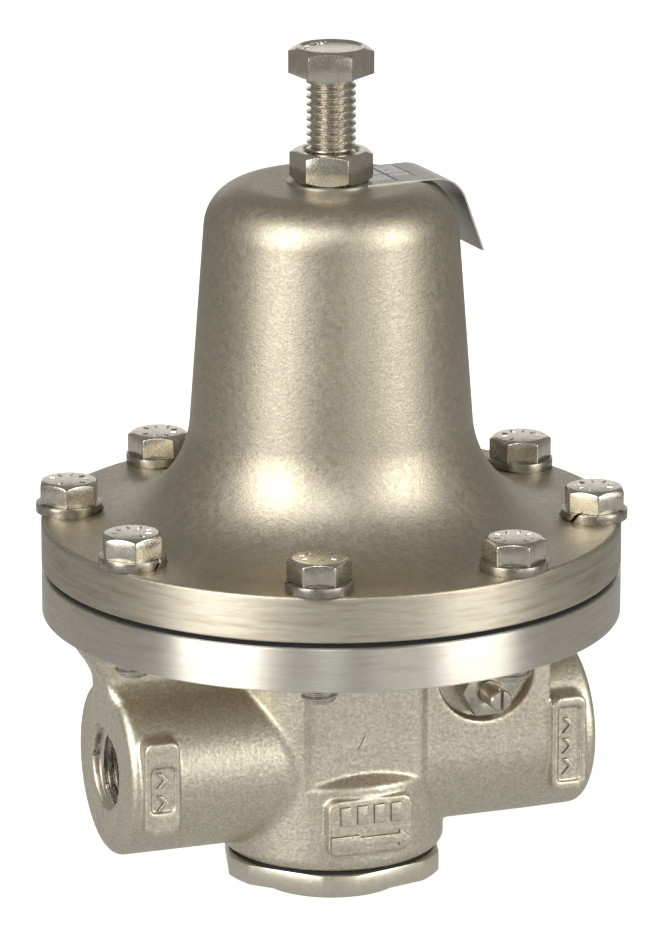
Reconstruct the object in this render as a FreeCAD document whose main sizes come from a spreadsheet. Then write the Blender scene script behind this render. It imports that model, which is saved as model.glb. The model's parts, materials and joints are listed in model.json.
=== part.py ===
import FreeCAD, Part
import math
import os
import re

import Sketcher
from FreeCAD import Placement, Rotation, Vector

# A direct-operated pressure reducing valve, in millimetres. Z is the valve's axis, pointing up,
# and z = 0 is the lower face of the bottom cap. Flow runs along +X, and -Y is the front.

DIMENSIONS = {
    # how far a cut runs past the face that it opens
    "over": 1.0,
    # bottom cap and its gasket
    "cap_boss_radius": 20.0,
    "cap_boss_top": 3.95,
    "cap_hex_flats": 54.9,
    "cap_hex_top": 9.35,
    "cap_spigot_radius": 23.9,
    "cap_spigot_top": 21.0,
    "cap_hole_radius": 24.0,
    "cap_hole_top": 22.0,
    "cap_bore_radius": 12.0,
    "cap_bore_floor": 5.0,
    "gasket_radius": 27.4,
    "body_bottom": 10.05,
    "core_reach": 28.0,
    # valve body, outside
    "column_radius": 29.3,
    "column_top": 73.6,
    "column_foot_rounding": 3.0,
    "flange_radius": 75.15,
    "flange_top": 85.1,
    "flange_edge_chamfer": 0.6,
    "port_height": 36.4,
    "hub_radius": 22.9,
    "hub_rounding": 2.5,
    "inlet_face": 62.2,
    "outlet_face": 66.2,
    "outlet_web_end": 52.7,
    "rib_half_width": 6.5,
    "rib_root": 20.0,
    "rib_foot": 61.2,
    "rib_top": 72.3,
    "rib_low": 52.0,
    "rib_knee": 57.5,
    "front_flat": 25.1,
    "front_flat_low": 35.7,
    "ledge_low": 32.0,
    "ledge_reach": 31.3,
    "badge_face": 29.9,
    "badge_height": 22.85,
    "badge_half_width": 11.55,
    "badge_half_height": 7.4,
    "badge_corner": 2.5,
    "badge_back": 23.3,
    "relief": 0.7,
    "arrow_height": 18.9,
    "arrow_length": 22.0,
    "arrow_tail_length": 8.05,
    "arrow_tail_reach": 1.9,
    "arrow_shaft_reach": 1.2,
    "arrow_head_length": 3.15,
    "arrow_head_reach": 2.3,
    "bar_low": 23.5,
    "bar_high": 28.6,
    "bar_width": 2.7,
    "bar_spacing": 4.6,
    "bar_count": 4,
    "side_badge_face": 24.6,
    "side_badge_back": 14.5,
    "side_badge_corner": 2.6,
    "side_badge_recess": 0.9,
    "inlet_badge_left": 59.4,
    "inlet_badge_right": 49.7,
    "inlet_badge_low": 24.5,
    "inlet_badge_high": 49.7,
    "outlet_badge_left": 52.4,
    "outlet_badge_right": 62.3,
    "outlet_badge_low": 24.1,
    "outlet_badge_high": 49.9,
    "inlet_recess_left": 57.6,
    "inlet_recess_right": 51.5,
    "inlet_recess_low": 30.8,
    "inlet_recess_high": 42.9,
    "outlet_recess_left": 54.1,
    "outlet_recess_right": 60.3,
    "outlet_recess_low": 26.8,
    "outlet_recess_high": 47.0,
    "chevron_width": 3.4,
    "chevron_rise": 2.1,
    "chevron_stroke": 1.5,
    "inlet_chevron_spacing": 6.0,
    "outlet_chevron_spacing": 5.6,
    # valve body, inside
    "port_radius": 9.4,
    "port_mouth_chamfer": 1.8,
    "port_depth": 20.0,
    "passage_half_width": 9.0,
    "inlet_passage_low": 26.2,
    "outlet_passage_high": 46.6,
    "passage_overlap": 4.0,
    "lower_chamber_radius": 22.0,
    "lower_chamber_top": 33.5,
    "web_top": 39.5,
    "web_bore_radius": 12.0,
    "upper_chamber_radius": 21.0,
    "upper_chamber_top": 64.0,
    "guide_bore_radius": 8.0,
    "seat_play": 0.05,
    "diaphragm_chamber_radius": 56.0,
    "diaphragm_chamber_floor": 78.6,
    "sensing_drill_radius": 2.2,
    "sensing_drill_low": 44.4,
    "sensing_x": 34.5,
    "sensing_y": 8.0,
    "sensing_z": 54.0,
    "sensing_pocket_x": 34.6,
    "sensing_pocket_z": 58.8,
    "sensing_pocket_radius": 13.3,
    "sensing_pocket_floor": 19.1,
    "sensing_thread_radius": 3.0,
    # diaphragm joint
    "gasket_thickness": 0.45,
    "ply_thickness": 0.5,
    "diaphragm_radius": 74.0,
    "stem_hole_radius": 3.3,
    # bonnet
    "bonnet_flange_top": 98.7,
    "bonnet_flange_rounding": 1.2,
    "bonnet_flare_corner_radius": 38.45,
    "bonnet_flare": 28.0,
    "bonnet_shoulder_corner_radius": 31.9,
    "bonnet_shoulder": 12.0,
    "bonnet_top": 187.0,
    "cavity_mouth_radius": 56.0,
    "cavity_mouth_top": 94.6,
    "cavity_low_radius": 32.2,
    "cavity_high_radius": 27.0,
    "cavity_top": 174.5,
    "cavity_flare": 22.0,
    "cavity_shoulder": 9.0,
    "bell_low": 112.0,
    "screw_clearance_radius": 6.65,
    # flange bolts, 3/8-16, and their split washers
    "bolt_circle_radius": 68.05,
    "bolt_count": 8,
    "bolt_shank_radius": 4.7,
    "bolt_tap_radius": 4.76,
    "bolt_clearance_radius": 5.2,
    "bolt_seat_radius": 10.5,
    "bolt_head_flats": 14.29,
    "bolt_head_height": 5.95,
    "bolt_length": 31.75,
    "bolt_point": 1.5,
    "bolt_thread_pitch": 1.5875,
    "bolt_thread_depth": 0.85,
    "bolt_thread_length": 8.0,
    "washer_outer_radius": 8.63,
    "washer_inner_radius": 4.9,
    "washer_thickness": 2.39,
    "washer_gap": 1.1,
    # adjusting screw, 1/2-13, with its jam nut and spring button
    "screw_radius": 6.35,
    "screw_pitch": 1.954,
    "screw_thread_depth": 1.15,
    "screw_neck": 1.2,
    "screw_tip": 151.7,
    "screw_head_base": 215.2,
    "screw_head_top": 222.3,
    "screw_head_flats": 19.05,
    "screw_head_dish": 0.5,
    "nut_flats": 18.7,
    "nut_base": 187.45,
    "nut_top": 195.4,
    "nut_chamfer_radius": 9.1,
    "button_radius": 24.5,
    "button_low": 148.0,
    "button_high": 156.0,
    "button_boss_radius": 16.8,
    "button_boss_low": 145.0,
    "button_dimple_radius": 6.8,
    # name tag
    "tag_width": 19.6,
    "tag_end_radius": 11.4,
    "tag_thickness": 0.45,
    "tag_bend_start": 25.0,
    "tag_bend_radius": 9.0,
    "tag_drop_angle": 70.0,
    "tag_drop_length": 15.2,
    "tag_hole_radius": 6.8,
    # springs
    "range_spring_mean_radius": 20.75,
    "range_spring_wire_radius": 3.2,
    "range_spring_pitch": 9.4,
    "return_spring_mean_radius": 8.2,
    "return_spring_wire_radius": 0.8,
    "return_spring_pitch": 3.0,
    # pressure plate, stem and plug
    "plate_radius": 44.0,
    "plate_top": 91.55,
    "plate_boss_radius": 16.8,
    "plate_boss_top": 94.0,
    "washer_plate_radius": 36.0,
    "washer_plate_low": 83.05,
    "stem_radius": 4.0,
    "stem_thread_radius": 3.1,
    "stem_top": 99.0,
    "stem_bottom": 15.5,
    "stem_nut_flats": 12.7,
    "stem_nut_height": 5.5,
    "stem_washer_radius": 7.0,
    "stem_washer_thickness": 1.4,
    "stem_bore_radius": 3.15,
    "guide_bore_clearance_radius": 4.08,
    "disc_low": 26.5,
    "disc_high": 29.5,
    "disc_radius": 10.5,
    "retainer_top": 30.9,
    "retainer_radius": 5.6,
    "plug_radius": 11.7,
    "plug_bottom": 12.0,
    "plug_web_low": 20.0,
    "plug_rim": 29.0,
    "plug_skirt_radius": 9.6,
    "end_nut_flats": 11.0,
    "end_nut_height": 3.6,
    # seat ring
    "seat_low": 29.5,
    "seat_flange_low": 30.8,
    "seat_flange_radius": 15.5,
    "seat_bore_radius": 7.4,
    "seat_lip_radius": 8.6,
    "seat_top": 41.0,
    # sensing screw
    "sensing_nut_flats": 12.7,
    "sensing_nut_height": 5.9,
    "sensing_screw_end": 34.0,
    "sensing_needle_radius": 1.4,
    "sensing_slot_width": 0.9,
    "sensing_slot_depth": 1.6,
}

PORT_AXIS = "port_height"
UP = Vector(0, 0, 1)
ALONG = Vector(1, 0, 0)
HEX_STEP = 60
BOLT_ANGLES = [112.5, 157.5, -157.5, -112.5, -67.5, -22.5, 22.5, 67.5]
BOLT_HEAD_TURNS = [42.0, 7.6, 18.0, 40.0, 37.0, 15.8, 43.0, 25.0]
WASHER_GAP_TURNS = [80.0, 60.0, -60.0, 170.0, 95.0, -150.0, 75.0, 50.0]
CAP_HEX_TURN = -106.0
JAM_NUT_TURN = -116.4 + HEX_STEP / 2
SCREW_HEAD_TURN = -111.5 + HEX_STEP / 2
SENSING_NUT_TURN = 0.0
TAG_TURN = 4.65
MATH_WORDS = {"sin", "cos", "tan", "sqrt"}

doc = FreeCAD.newDocument("pressure_reducing_valve")
sheet = doc.addObject("Spreadsheet::Sheet", "dims")
for row, (alias, number) in enumerate(DIMENSIONS.items(), start=1):
    sheet.set(f"A{row}", alias)
    sheet.set(f"B{row}", str(number))
    sheet.setAlias(f"B{row}", alias)
doc.recompute()


# ---- helpers ----


def bound(text):
    """The expression that reads each alias named in text from the sheet."""

    def named(word):
        return word[0] if word[0] in MATH_WORDS else f"dims.{word[0]}"

    return re.sub(r"[a-z][a-z0-9_]*", named, text)


def value(text):
    return float(sheet.evalExpression(bound(text)))


def set_size(item, name, text):
    setattr(item, name, value(text))
    item.setExpression(name, bound(text))


def new_body(label):
    body = doc.addObject("PartDesign::Body", label)
    body.Label = label
    return body


def new_sketch(body, role, offset="0"):
    """A sketch on one of the body's own origin planes, moved along the plane's normal by offset."""
    plane = next(item for item in body.Origin.OriginFeatures if item.Role == role)
    sketch = body.newObject("Sketcher::SketchObject", f"{body.Name}_sketch")
    sketch.AttachmentSupport = (plane, [""])
    sketch.MapMode = "FlatFace"
    sketch.AttachmentOffset = Placement(Vector(0, 0, value(offset)), Rotation())
    sketch.setExpression("AttachmentOffset.Base.z", bound(offset))
    return sketch


def pin_point(sketch, element, end, x, y):
    """Hold a point of the sketch at two bound distances from its origin."""
    for kind, text in (("DistanceX", x), ("DistanceY", y)):
        index = sketch.addConstraint(Sketcher.Constraint(kind, -1, 1, element, end, value(text)))
        sketch.setExpression(f"Constraints[{index}]", bound(text))


def add_outline(sketch, corners):
    """A closed outline of straight lines through corners, each a pair of expressions."""
    first = sketch.GeometryCount
    count = len(corners)
    points = [Vector(value(x), value(y), 0) for x, y in corners]
    for index in range(count):
        sketch.addGeometry(Part.LineSegment(points[index], points[(index + 1) % count]))
    for index in range(count):
        following = first + (index + 1) % count
        sketch.addConstraint(Sketcher.Constraint("Coincident", first + index, 2, following, 1))
    for index, (x, y) in enumerate(corners):
        pin_point(sketch, first + index, 1, x, y)


def add_circle(sketch, x, y, radius):
    element = sketch.addGeometry(Part.Circle(Vector(value(x), value(y), 0), Vector(0, 0, 1), value(radius)))
    pin_point(sketch, element, 3, x, y)
    index = sketch.addConstraint(Sketcher.Constraint("Radius", element, value(radius)))
    sketch.setExpression(f"Constraints[{index}]", bound(radius))


def add_rounded_rectangle(sketch, left, low, right, high, corner):
    """A rectangle whose four corners are arcs of radius corner."""
    radius = value(corner)
    sides = [
        ((f"{left} + {corner}", low), (f"{right} - {corner}", low)),
        ((right, f"{low} + {corner}"), (right, f"{high} - {corner}")),
        ((f"{right} - {corner}", high), (f"{left} + {corner}", high)),
        ((left, f"{high} - {corner}"), (left, f"{low} + {corner}")),
    ]
    centres = [(right, low, -1, 1), (right, high, -1, -1), (left, high, 1, -1), (left, low, 1, 1)]
    first = sketch.GeometryCount
    for start, end in sides:
        points = [Vector(value(x), value(y), 0) for x, y in (start, end)]
        sketch.addGeometry(Part.LineSegment(*points))
    for index, (x, y, inward_x, inward_y) in enumerate(centres):
        centre = Vector(value(x) + inward_x * radius, value(y) + inward_y * radius, 0)
        begin = math.radians(270 + 90 * index)
        arc = Part.ArcOfCircle(Part.Circle(centre, Vector(0, 0, 1), radius), begin, begin + math.pi / 2)
        sketch.addGeometry(arc)
    for index, (start, end) in enumerate(sides):
        pin_point(sketch, first + index, 1, *start)
        pin_point(sketch, first + index, 2, *end)
        arc = first + 4 + index
        sketch.addConstraint(Sketcher.Constraint("Coincident", first + index, 2, arc, 1))
        sketch.addConstraint(Sketcher.Constraint("Coincident", arc, 2, first + (index + 1) % 4, 1))
        number = sketch.addConstraint(Sketcher.Constraint("Radius", arc, radius))
        sketch.setExpression(f"Constraints[{number}]", bound(corner))


def rectangle(left, low, right, high):
    return [(left, low), (right, low), (right, high), (left, high)]


def hexagon(flats, turn=0, x="0", y="0"):
    """Six corners about (x, y), the first at the angle turn."""
    return [
        (
            f"{x} + {flats} / sqrt(3) * cos({turn + HEX_STEP * k})",
            f"{y} + {flats} / sqrt(3) * sin({turn + HEX_STEP * k})",
        )
        for k in range(6)
    ]


def body_volume(body):
    doc.recompute()
    return body.Shape.Volume if body.Tip else 0.0


def add_feature(body, kind, sketch, settings, before):
    """A sketch-based feature, checked to add or to remove material as its kind should."""
    feature = body.newObject(f"PartDesign::{kind}", f"{body.Name}_{kind}".lower())
    feature.Profile = sketch
    for name, setting in settings.items():
        if isinstance(setting, str):
            set_size(feature, name, setting)
        else:
            setattr(feature, name, setting)
    sketch.Visibility = False
    after = body_volume(body)
    adds = kind in ("Pad", "Revolution", "AdditiveHelix")
    if (after > before) != adds or abs(after - before) < 1e-3:
        raise RuntimeError(f"{body.Label}: {feature.Name} changed the volume from {before} to {after}")
    return feature


def pad(body, sketch, length, reverse=False):
    return add_feature(body, "Pad", sketch, {"Length": length, "Reversed": reverse}, body_volume(body))


def pocket(body, sketch, depth, reverse=False):
    return add_feature(body, "Pocket", sketch, {"Length": depth, "Reversed": reverse}, body_volume(body))


def revolve(body, corners, cut=False):
    """Turn an outline in the XZ plane, corners of (radius, height), about the Z axis."""
    before = body_volume(body)
    sketch = new_sketch(body, "XZ_Plane")
    add_outline(sketch, corners)
    settings = {"ReferenceAxis": (sketch, ["V_Axis"]), "Angle": 360}
    return add_feature(body, "Groove" if cut else "Revolution", sketch, settings, before)


def ring(body, inner, outer, low, high, cut=False):
    return revolve(body, rectangle(inner, low, outer, high), cut)


def prism(body, flats, turn, low, height):
    sketch = new_sketch(body, "XY_Plane", low)
    add_outline(sketch, hexagon(flats, turn))
    return pad(body, sketch, height)


def bevel_hexagon(body, flats, edge_radius, level, up=True):
    """Cut the corners of a hexagonal prism on a 30 degree cone that meets level at edge_radius."""
    sign = "-" if up else "+"
    outside = f"({flats} * 0.7)"
    drop = f"({outside} - ({edge_radius})) * tan(30)"
    corners = [(edge_radius, level), (outside, level), (outside, f"{level} {sign} {drop}")]
    return revolve(body, corners, cut=True)


def drill(body, role, x, y, radius, start, depth, reverse=False):
    """A round hole square to one of the origin planes, from start along the plane's normal."""
    sketch = new_sketch(body, role, start)
    add_circle(sketch, x, y, radius)
    return pocket(body, sketch, depth, reverse)


def bolt_place():
    """Where the first flange bolt stands, as two expressions."""
    turn = BOLT_ANGLES[0]
    return f"bolt_circle_radius * cos({turn})", f"bolt_circle_radius * sin({turn})"


def polar(body, feature, count):
    sketch = feature.Profile[0]
    pattern = body.newObject("PartDesign::PolarPattern", f"{body.Name}_pattern")
    pattern.Originals = [feature]
    pattern.Axis = (sketch, ["N_Axis"])
    pattern.Angle = 360
    pattern.Occurrences = int(value(count))
    pattern.setExpression("Occurrences", bound(count))
    body.Tip = pattern
    doc.recompute()


def dress(body, kind, size, picks):
    """A fillet or chamfer on every edge of the body whose middle and length picks accepts."""
    base = body.Tip
    names = []
    for index, edge in enumerate(base.Shape.Edges, start=1):
        middle = edge.valueAt((edge.FirstParameter + edge.LastParameter) / 2)
        if picks(edge, middle):
            names.append(f"Edge{index}")
    if not names:
        raise RuntimeError(f"{body.Label}: no edge to dress")
    feature = body.newObject(f"PartDesign::{kind}", f"{body.Name}_{kind}".lower())
    feature.Base = (base, names)
    set_size(feature, "Radius" if kind == "Fillet" else "Size", size)
    doc.recompute()
    if "Invalid" in feature.State or not feature.Shape.isValid():
        raise RuntimeError(f"{body.Label}: {feature.Name} failed on {names}")
    return feature


def circle_at(radius, height):
    """Accept an edge that is a whole circle about Z of this radius at this height."""
    want_radius = value(radius)
    want_height = value(height)

    def picks(edge, middle):
        at_radius = abs(math.hypot(middle.x, middle.y) - want_radius) < 0.02
        return at_radius and abs(middle.z - want_height) < 0.02

    return picks


def cut_thread(body, radius, depth, pitch, low, high):
    """A right-hand external thread groove of rounded-down 60 degree form, from low up to high."""
    before = body_volume(body)
    sketch = new_sketch(body, "XZ_Plane")
    flank = "0.46"
    root = "0.09"
    corners = [
        (f"{radius} + 0.25", f"{low} - {pitch} * {flank}"),
        (f"{radius} + 0.25", f"{low} + {pitch} * {flank}"),
        (f"{radius} - {depth}", f"{low} + {pitch} * {root}"),
        (f"{radius} - {depth}", f"{low} - {pitch} * {root}"),
    ]
    add_outline(sketch, corners)
    settings = {
        "ReferenceAxis": (sketch, ["V_Axis"]),
        "Mode": 0,
        "Pitch": pitch,
        "Height": f"{high} - ({low})",
    }
    return add_feature(body, "SubtractiveHelix", sketch, settings, before)


def coil(body, mean_radius, wire_radius, pitch, low, high):
    """A compression spring between two levels, with ground flat ends."""
    sketch = new_sketch(body, "XZ_Plane")
    inset = f"{wire_radius} * 0.3"
    add_circle(sketch, mean_radius, f"{low} + {inset}", wire_radius)
    settings = {
        "ReferenceAxis": (sketch, ["V_Axis"]),
        "Mode": 0,
        "Pitch": pitch,
        "Height": f"{high} - ({low}) - 2 * {inset}",
    }
    add_feature(body, "AdditiveHelix", sketch, settings, 0.0)
    reach = f"{mean_radius} + 3 * {wire_radius}"
    ring(body, "0", reach, f"{low} - 2 * {wire_radius}", low, cut=True)
    ring(body, "0", reach, high, f"{high} + 2 * {wire_radius}", cut=True)


def layers(shape, along, levels):
    """The parts of a shape between planes square to the axis along, lowest first."""
    found = []
    reach = shape.BoundBox.DiagonalLength
    for level in levels:
        corner = Vector(-reach, -reach, -reach) + along * (value(level) - reach)
        below = Part.makeBox(2 * reach, 2 * reach, 2 * reach, corner)
        found.append(shape.common(below))
        shape = shape.cut(below)
    return found + [shape]


def store(label, shapes):
    """One sub-part made of all the solids in shapes."""
    item = doc.addObject("Part::Feature", label)
    item.Label = label
    item.Shape = Part.makeCompound([solid for shape in shapes for solid in shape.Solids])


# ---- housing ----


def make_bottom_cap():
    body = new_body("bottom_cap")
    ring(body, "0", "cap_boss_radius", "0", "cap_boss_top + over / 2")
    prism(body, "cap_hex_flats", CAP_HEX_TURN, "cap_boss_top", "cap_hex_top - cap_boss_top")
    ring(body, "column_radius", "cap_hex_flats", "cap_boss_top - over", "cap_hex_top + over", cut=True)
    ring(body, "0", "cap_spigot_radius", "cap_hex_top - over", "cap_spigot_top")
    ring(body, "0", "cap_bore_radius", "cap_bore_floor", "cap_spigot_top + over", cut=True)
    dress(body, "Chamfer", "0.8", circle_at("cap_boss_radius", "0"))
    dress(body, "Chamfer", "1", circle_at("cap_spigot_radius", "cap_spigot_top"))


def make_cap_gasket():
    body = new_body("cap_gasket")
    ring(body, "cap_spigot_radius + 0.15", "gasket_radius", "cap_hex_top", "body_bottom")


def badge_block(body, left, right, low, high, face, back, corner):
    """A raised block on the front with rounded corners, from y = -back out to y = -face."""
    sketch = new_sketch(body, "XZ_Plane", back)
    add_rounded_rectangle(sketch, left, low, right, high, corner)
    pad(body, sketch, f"{face} - ({back})")


def raised(body, corners, back, height):
    """A raised flat shape on the front, standing height proud of y = -back."""
    sketch = new_sketch(body, "XZ_Plane", f"{back} - 0.3")
    add_outline(sketch, corners)
    pad(body, sketch, f"{height} + 0.3")


def sunk(body, corners, face, depth):
    sketch = new_sketch(body, "XZ_Plane", f"{face} - {depth}")
    add_outline(sketch, corners)
    pocket(body, sketch, f"{depth} + 0.5", reverse=True)


def flow_arrow():
    """A block arrow pointing +X: a tail block, a thinner shaft and a head."""
    left = "-arrow_length / 2"
    right = "arrow_length / 2"
    tail = f"{left} + arrow_tail_length"
    neck = f"{right} - arrow_head_length"
    return [
        (left, "arrow_height - arrow_tail_reach"),
        (tail, "arrow_height - arrow_tail_reach"),
        (tail, "arrow_height - arrow_shaft_reach"),
        (neck, "arrow_height - arrow_shaft_reach"),
        (neck, "arrow_height - arrow_head_reach"),
        (right, "arrow_height"),
        (neck, "arrow_height + arrow_head_reach"),
        (neck, "arrow_height + arrow_shaft_reach"),
        (tail, "arrow_height + arrow_shaft_reach"),
        (tail, "arrow_height + arrow_tail_reach"),
        (left, "arrow_height + arrow_tail_reach"),
    ]


def chevron(centre_x, centre_z):
    """A chevron that points along the flow, +X."""
    back = f"{centre_x} - chevron_width / 2"
    tip = f"{centre_x} + chevron_width / 2"
    return [
        (back, f"{centre_z} - chevron_rise"),
        (f"{back} + chevron_stroke", f"{centre_z} - chevron_rise"),
        (tip, centre_z),
        (f"{back} + chevron_stroke", f"{centre_z} + chevron_rise"),
        (back, f"{centre_z} + chevron_rise"),
        (f"{tip} - chevron_stroke", centre_z),
    ]


def make_body_badges(body):
    """The raised panels on the front: flow arrow and plain bars on the column, chevrons on each hub."""
    badge_block(
        body,
        "-badge_half_width",
        "badge_half_width",
        "badge_height - badge_half_height",
        "badge_height + badge_half_height",
        "badge_face",
        "badge_back",
        "badge_corner",
    )
    raised(body, flow_arrow(), "badge_face", "relief")
    for index in range(int(value("bar_count"))):
        centre = f"({index} - (bar_count - 1) / 2) * bar_spacing"
        bar = rectangle(f"{centre} - bar_width / 2", "bar_low", f"{centre} + bar_width / 2", "bar_high")
        raised(body, bar, "badge_face", "relief")
    recess_floor = "side_badge_face - side_badge_recess"
    for port, sign, count in (("inlet", "-", 2), ("outlet", "", 3)):
        badge_block(
            body,
            f"{sign}{port}_badge_left",
            f"{sign}{port}_badge_right",
            f"{port}_badge_low",
            f"{port}_badge_high",
            "side_badge_face",
            "side_badge_back",
            "side_badge_corner",
        )
        left = f"{sign}{port}_recess_left"
        right = f"{sign}{port}_recess_right"
        recess = rectangle(left, f"{port}_recess_low", right, f"{port}_recess_high")
        sunk(body, recess, "side_badge_face", "side_badge_recess")
        for index in range(count):
            height = f"port_height + {index - (count - 1) / 2} * {port}_chevron_spacing"
            raised(body, chevron(f"({left} + {right}) / 2", height), recess_floor, "side_badge_recess")


def on_port_faces(radius):
    """Picks the circles of this radius round the port axis on the two port faces."""
    faces = [-value("inlet_face"), value("outlet_face")]

    def picked(edge, middle):
        from_axis = math.hypot(middle.y, middle.z - value(PORT_AXIS))
        on_face = min(abs(middle.x - face) for face in faces) < 0.01
        return on_face and abs(from_axis - value(radius)) < 0.05

    return picked


def make_valve_body():
    """The valve body casting, stored as solids that meet face to face around its hollows."""
    body = new_body("valve_body_casting")
    profile = [
        ("0", "body_bottom"),
        ("column_radius", "body_bottom"),
        ("column_radius", "column_top"),
        ("flange_radius", "column_top"),
        ("flange_radius", "flange_top"),
        ("0", "flange_top"),
    ]
    revolve(body, profile)
    dress(body, "Fillet", "column_foot_rounding", circle_at("column_radius", "body_bottom"))
    for level in ("column_top", "flange_top"):
        dress(body, "Chamfer", "flange_edge_chamfer", circle_at("flange_radius", level))

    # front flat with the sloping ledge below it
    sketch = new_sketch(body, "YZ_Plane", "-column_radius - over")
    ledge = [
        ("-front_flat", "column_top"),
        ("-front_flat", "front_flat_low"),
        ("-ledge_reach", "ledge_low"),
        ("-ledge_reach", "column_top"),
    ]
    add_outline(sketch, ledge)
    pocket(body, sketch, "2 * (column_radius + over)", reverse=True)

    # ports, with a square web above the outlet
    for face, reverse in (("inlet_face", True), ("outlet_face", False)):
        sketch = new_sketch(body, "YZ_Plane")
        add_circle(sketch, "0", PORT_AXIS, "hub_radius")
        pad(body, sketch, face, reverse)
    sketch = new_sketch(body, "YZ_Plane")
    add_outline(sketch, rectangle("-hub_radius", PORT_AXIS, "hub_radius", "column_top + over"))
    pad(body, sketch, "outlet_web_end")

    # rounded rims of the two port hubs
    dress(body, "Fillet", "hub_rounding", on_port_faces("hub_radius"))

    # rib above the inlet hub
    sketch = new_sketch(body, "XZ_Plane", "-rib_half_width")
    rib = [
        ("-rib_root", "rib_low"),
        ("-rib_foot", "rib_low"),
        ("-rib_foot", "rib_knee"),
        ("-rib_top", "column_top"),
        ("-rib_top", "column_top + over"),
        ("-rib_root", "column_top + over"),
    ]
    add_outline(sketch, rib)
    pad(body, sketch, "2 * rib_half_width")
    make_body_badges(body)

    # cap hole, inlet and outlet chambers, stem guide bore and diaphragm chamber
    cavity = [
        ("0", "body_bottom - over"),
        ("cap_hole_radius", "body_bottom - over"),
        ("cap_hole_radius", "cap_hole_top"),
        ("lower_chamber_radius", "cap_hole_top + cap_hole_radius - lower_chamber_radius"),
        ("lower_chamber_radius", "lower_chamber_top"),
        ("web_bore_radius", "lower_chamber_top"),
        ("web_bore_radius", "web_top"),
        ("upper_chamber_radius", "web_top"),
        ("upper_chamber_radius", "upper_chamber_top"),
        ("guide_bore_radius", "upper_chamber_top"),
        ("guide_bore_radius", "diaphragm_chamber_floor"),
        ("diaphragm_chamber_radius", "diaphragm_chamber_floor"),
        ("diaphragm_chamber_radius", "flange_top + over"),
        ("0", "flange_top + over"),
    ]
    revolve(body, cavity, cut=True)

    # port bores, and the passages behind them under and over the seat's web
    depth = "port_depth + over"
    drill(body, "YZ_Plane", "0", PORT_AXIS, "port_radius", "-inlet_face - over", depth, reverse=True)
    drill(body, "YZ_Plane", "0", PORT_AXIS, "port_radius", "outlet_face + over", depth)
    for port, chamber, low, high, reverse in (
        ("inlet", "lower_chamber", "inlet_passage_low", "lower_chamber_top", True),
        ("outlet", "upper_chamber", "web_top", "outlet_passage_high", False),
    ):
        sign = "-" if reverse else ""
        sketch = new_sketch(body, "YZ_Plane", f"{sign}({port}_face - port_depth)")
        add_outline(sketch, rectangle("-passage_half_width", low, "passage_half_width", high))
        length = f"{port}_face - port_depth - {chamber}_radius + passage_overlap"
        pocket(body, sketch, length, reverse)

    dress(body, "Chamfer", "port_mouth_chamfer", on_port_faces("port_radius"))

    # sensing passage up to the diaphragm chamber, crossed by the sensing screw's hole
    length = "diaphragm_chamber_floor + over - sensing_drill_low"
    radius = "sensing_drill_radius"
    drill(body, "XY_Plane", "sensing_x", "-sensing_y", radius, "sensing_drill_low", length, reverse=True)
    for name, radius, start, end in (
        ("sensing_pocket", "sensing_pocket_radius", "hub_radius + over", "sensing_pocket_floor"),
        ("sensing", "sensing_thread_radius", "sensing_pocket_floor + over", "sensing_y"),
    ):
        drill(body, "XZ_Plane", f"{name}_x", f"{name}_z", radius, start, f"{start} - {end}")

    # tapped holes for the flange bolts
    length = "flange_top - column_top + 2 * over"
    hole = drill(body, "XY_Plane", *bolt_place(), "bolt_tap_radius", "flange_top + over", length)
    polar(body, hole, "bolt_count")

    low, floor, rim = layers(body.Shape, UP, ["column_top", "diaphragm_chamber_floor"])
    stations = ["port_depth - inlet_face", "-core_reach", "core_reach", "outlet_face - port_depth"]
    inlet, inlet_neck, core, outlet_neck, outlet = layers(low, ALONG, stations)
    rings = layers(core, UP, ["lower_chamber_top", "web_top", "upper_chamber_top"])
    store("valve_body", [inlet, inlet_neck, *rings, outlet_neck, outlet, floor, rim])
    return body


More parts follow.
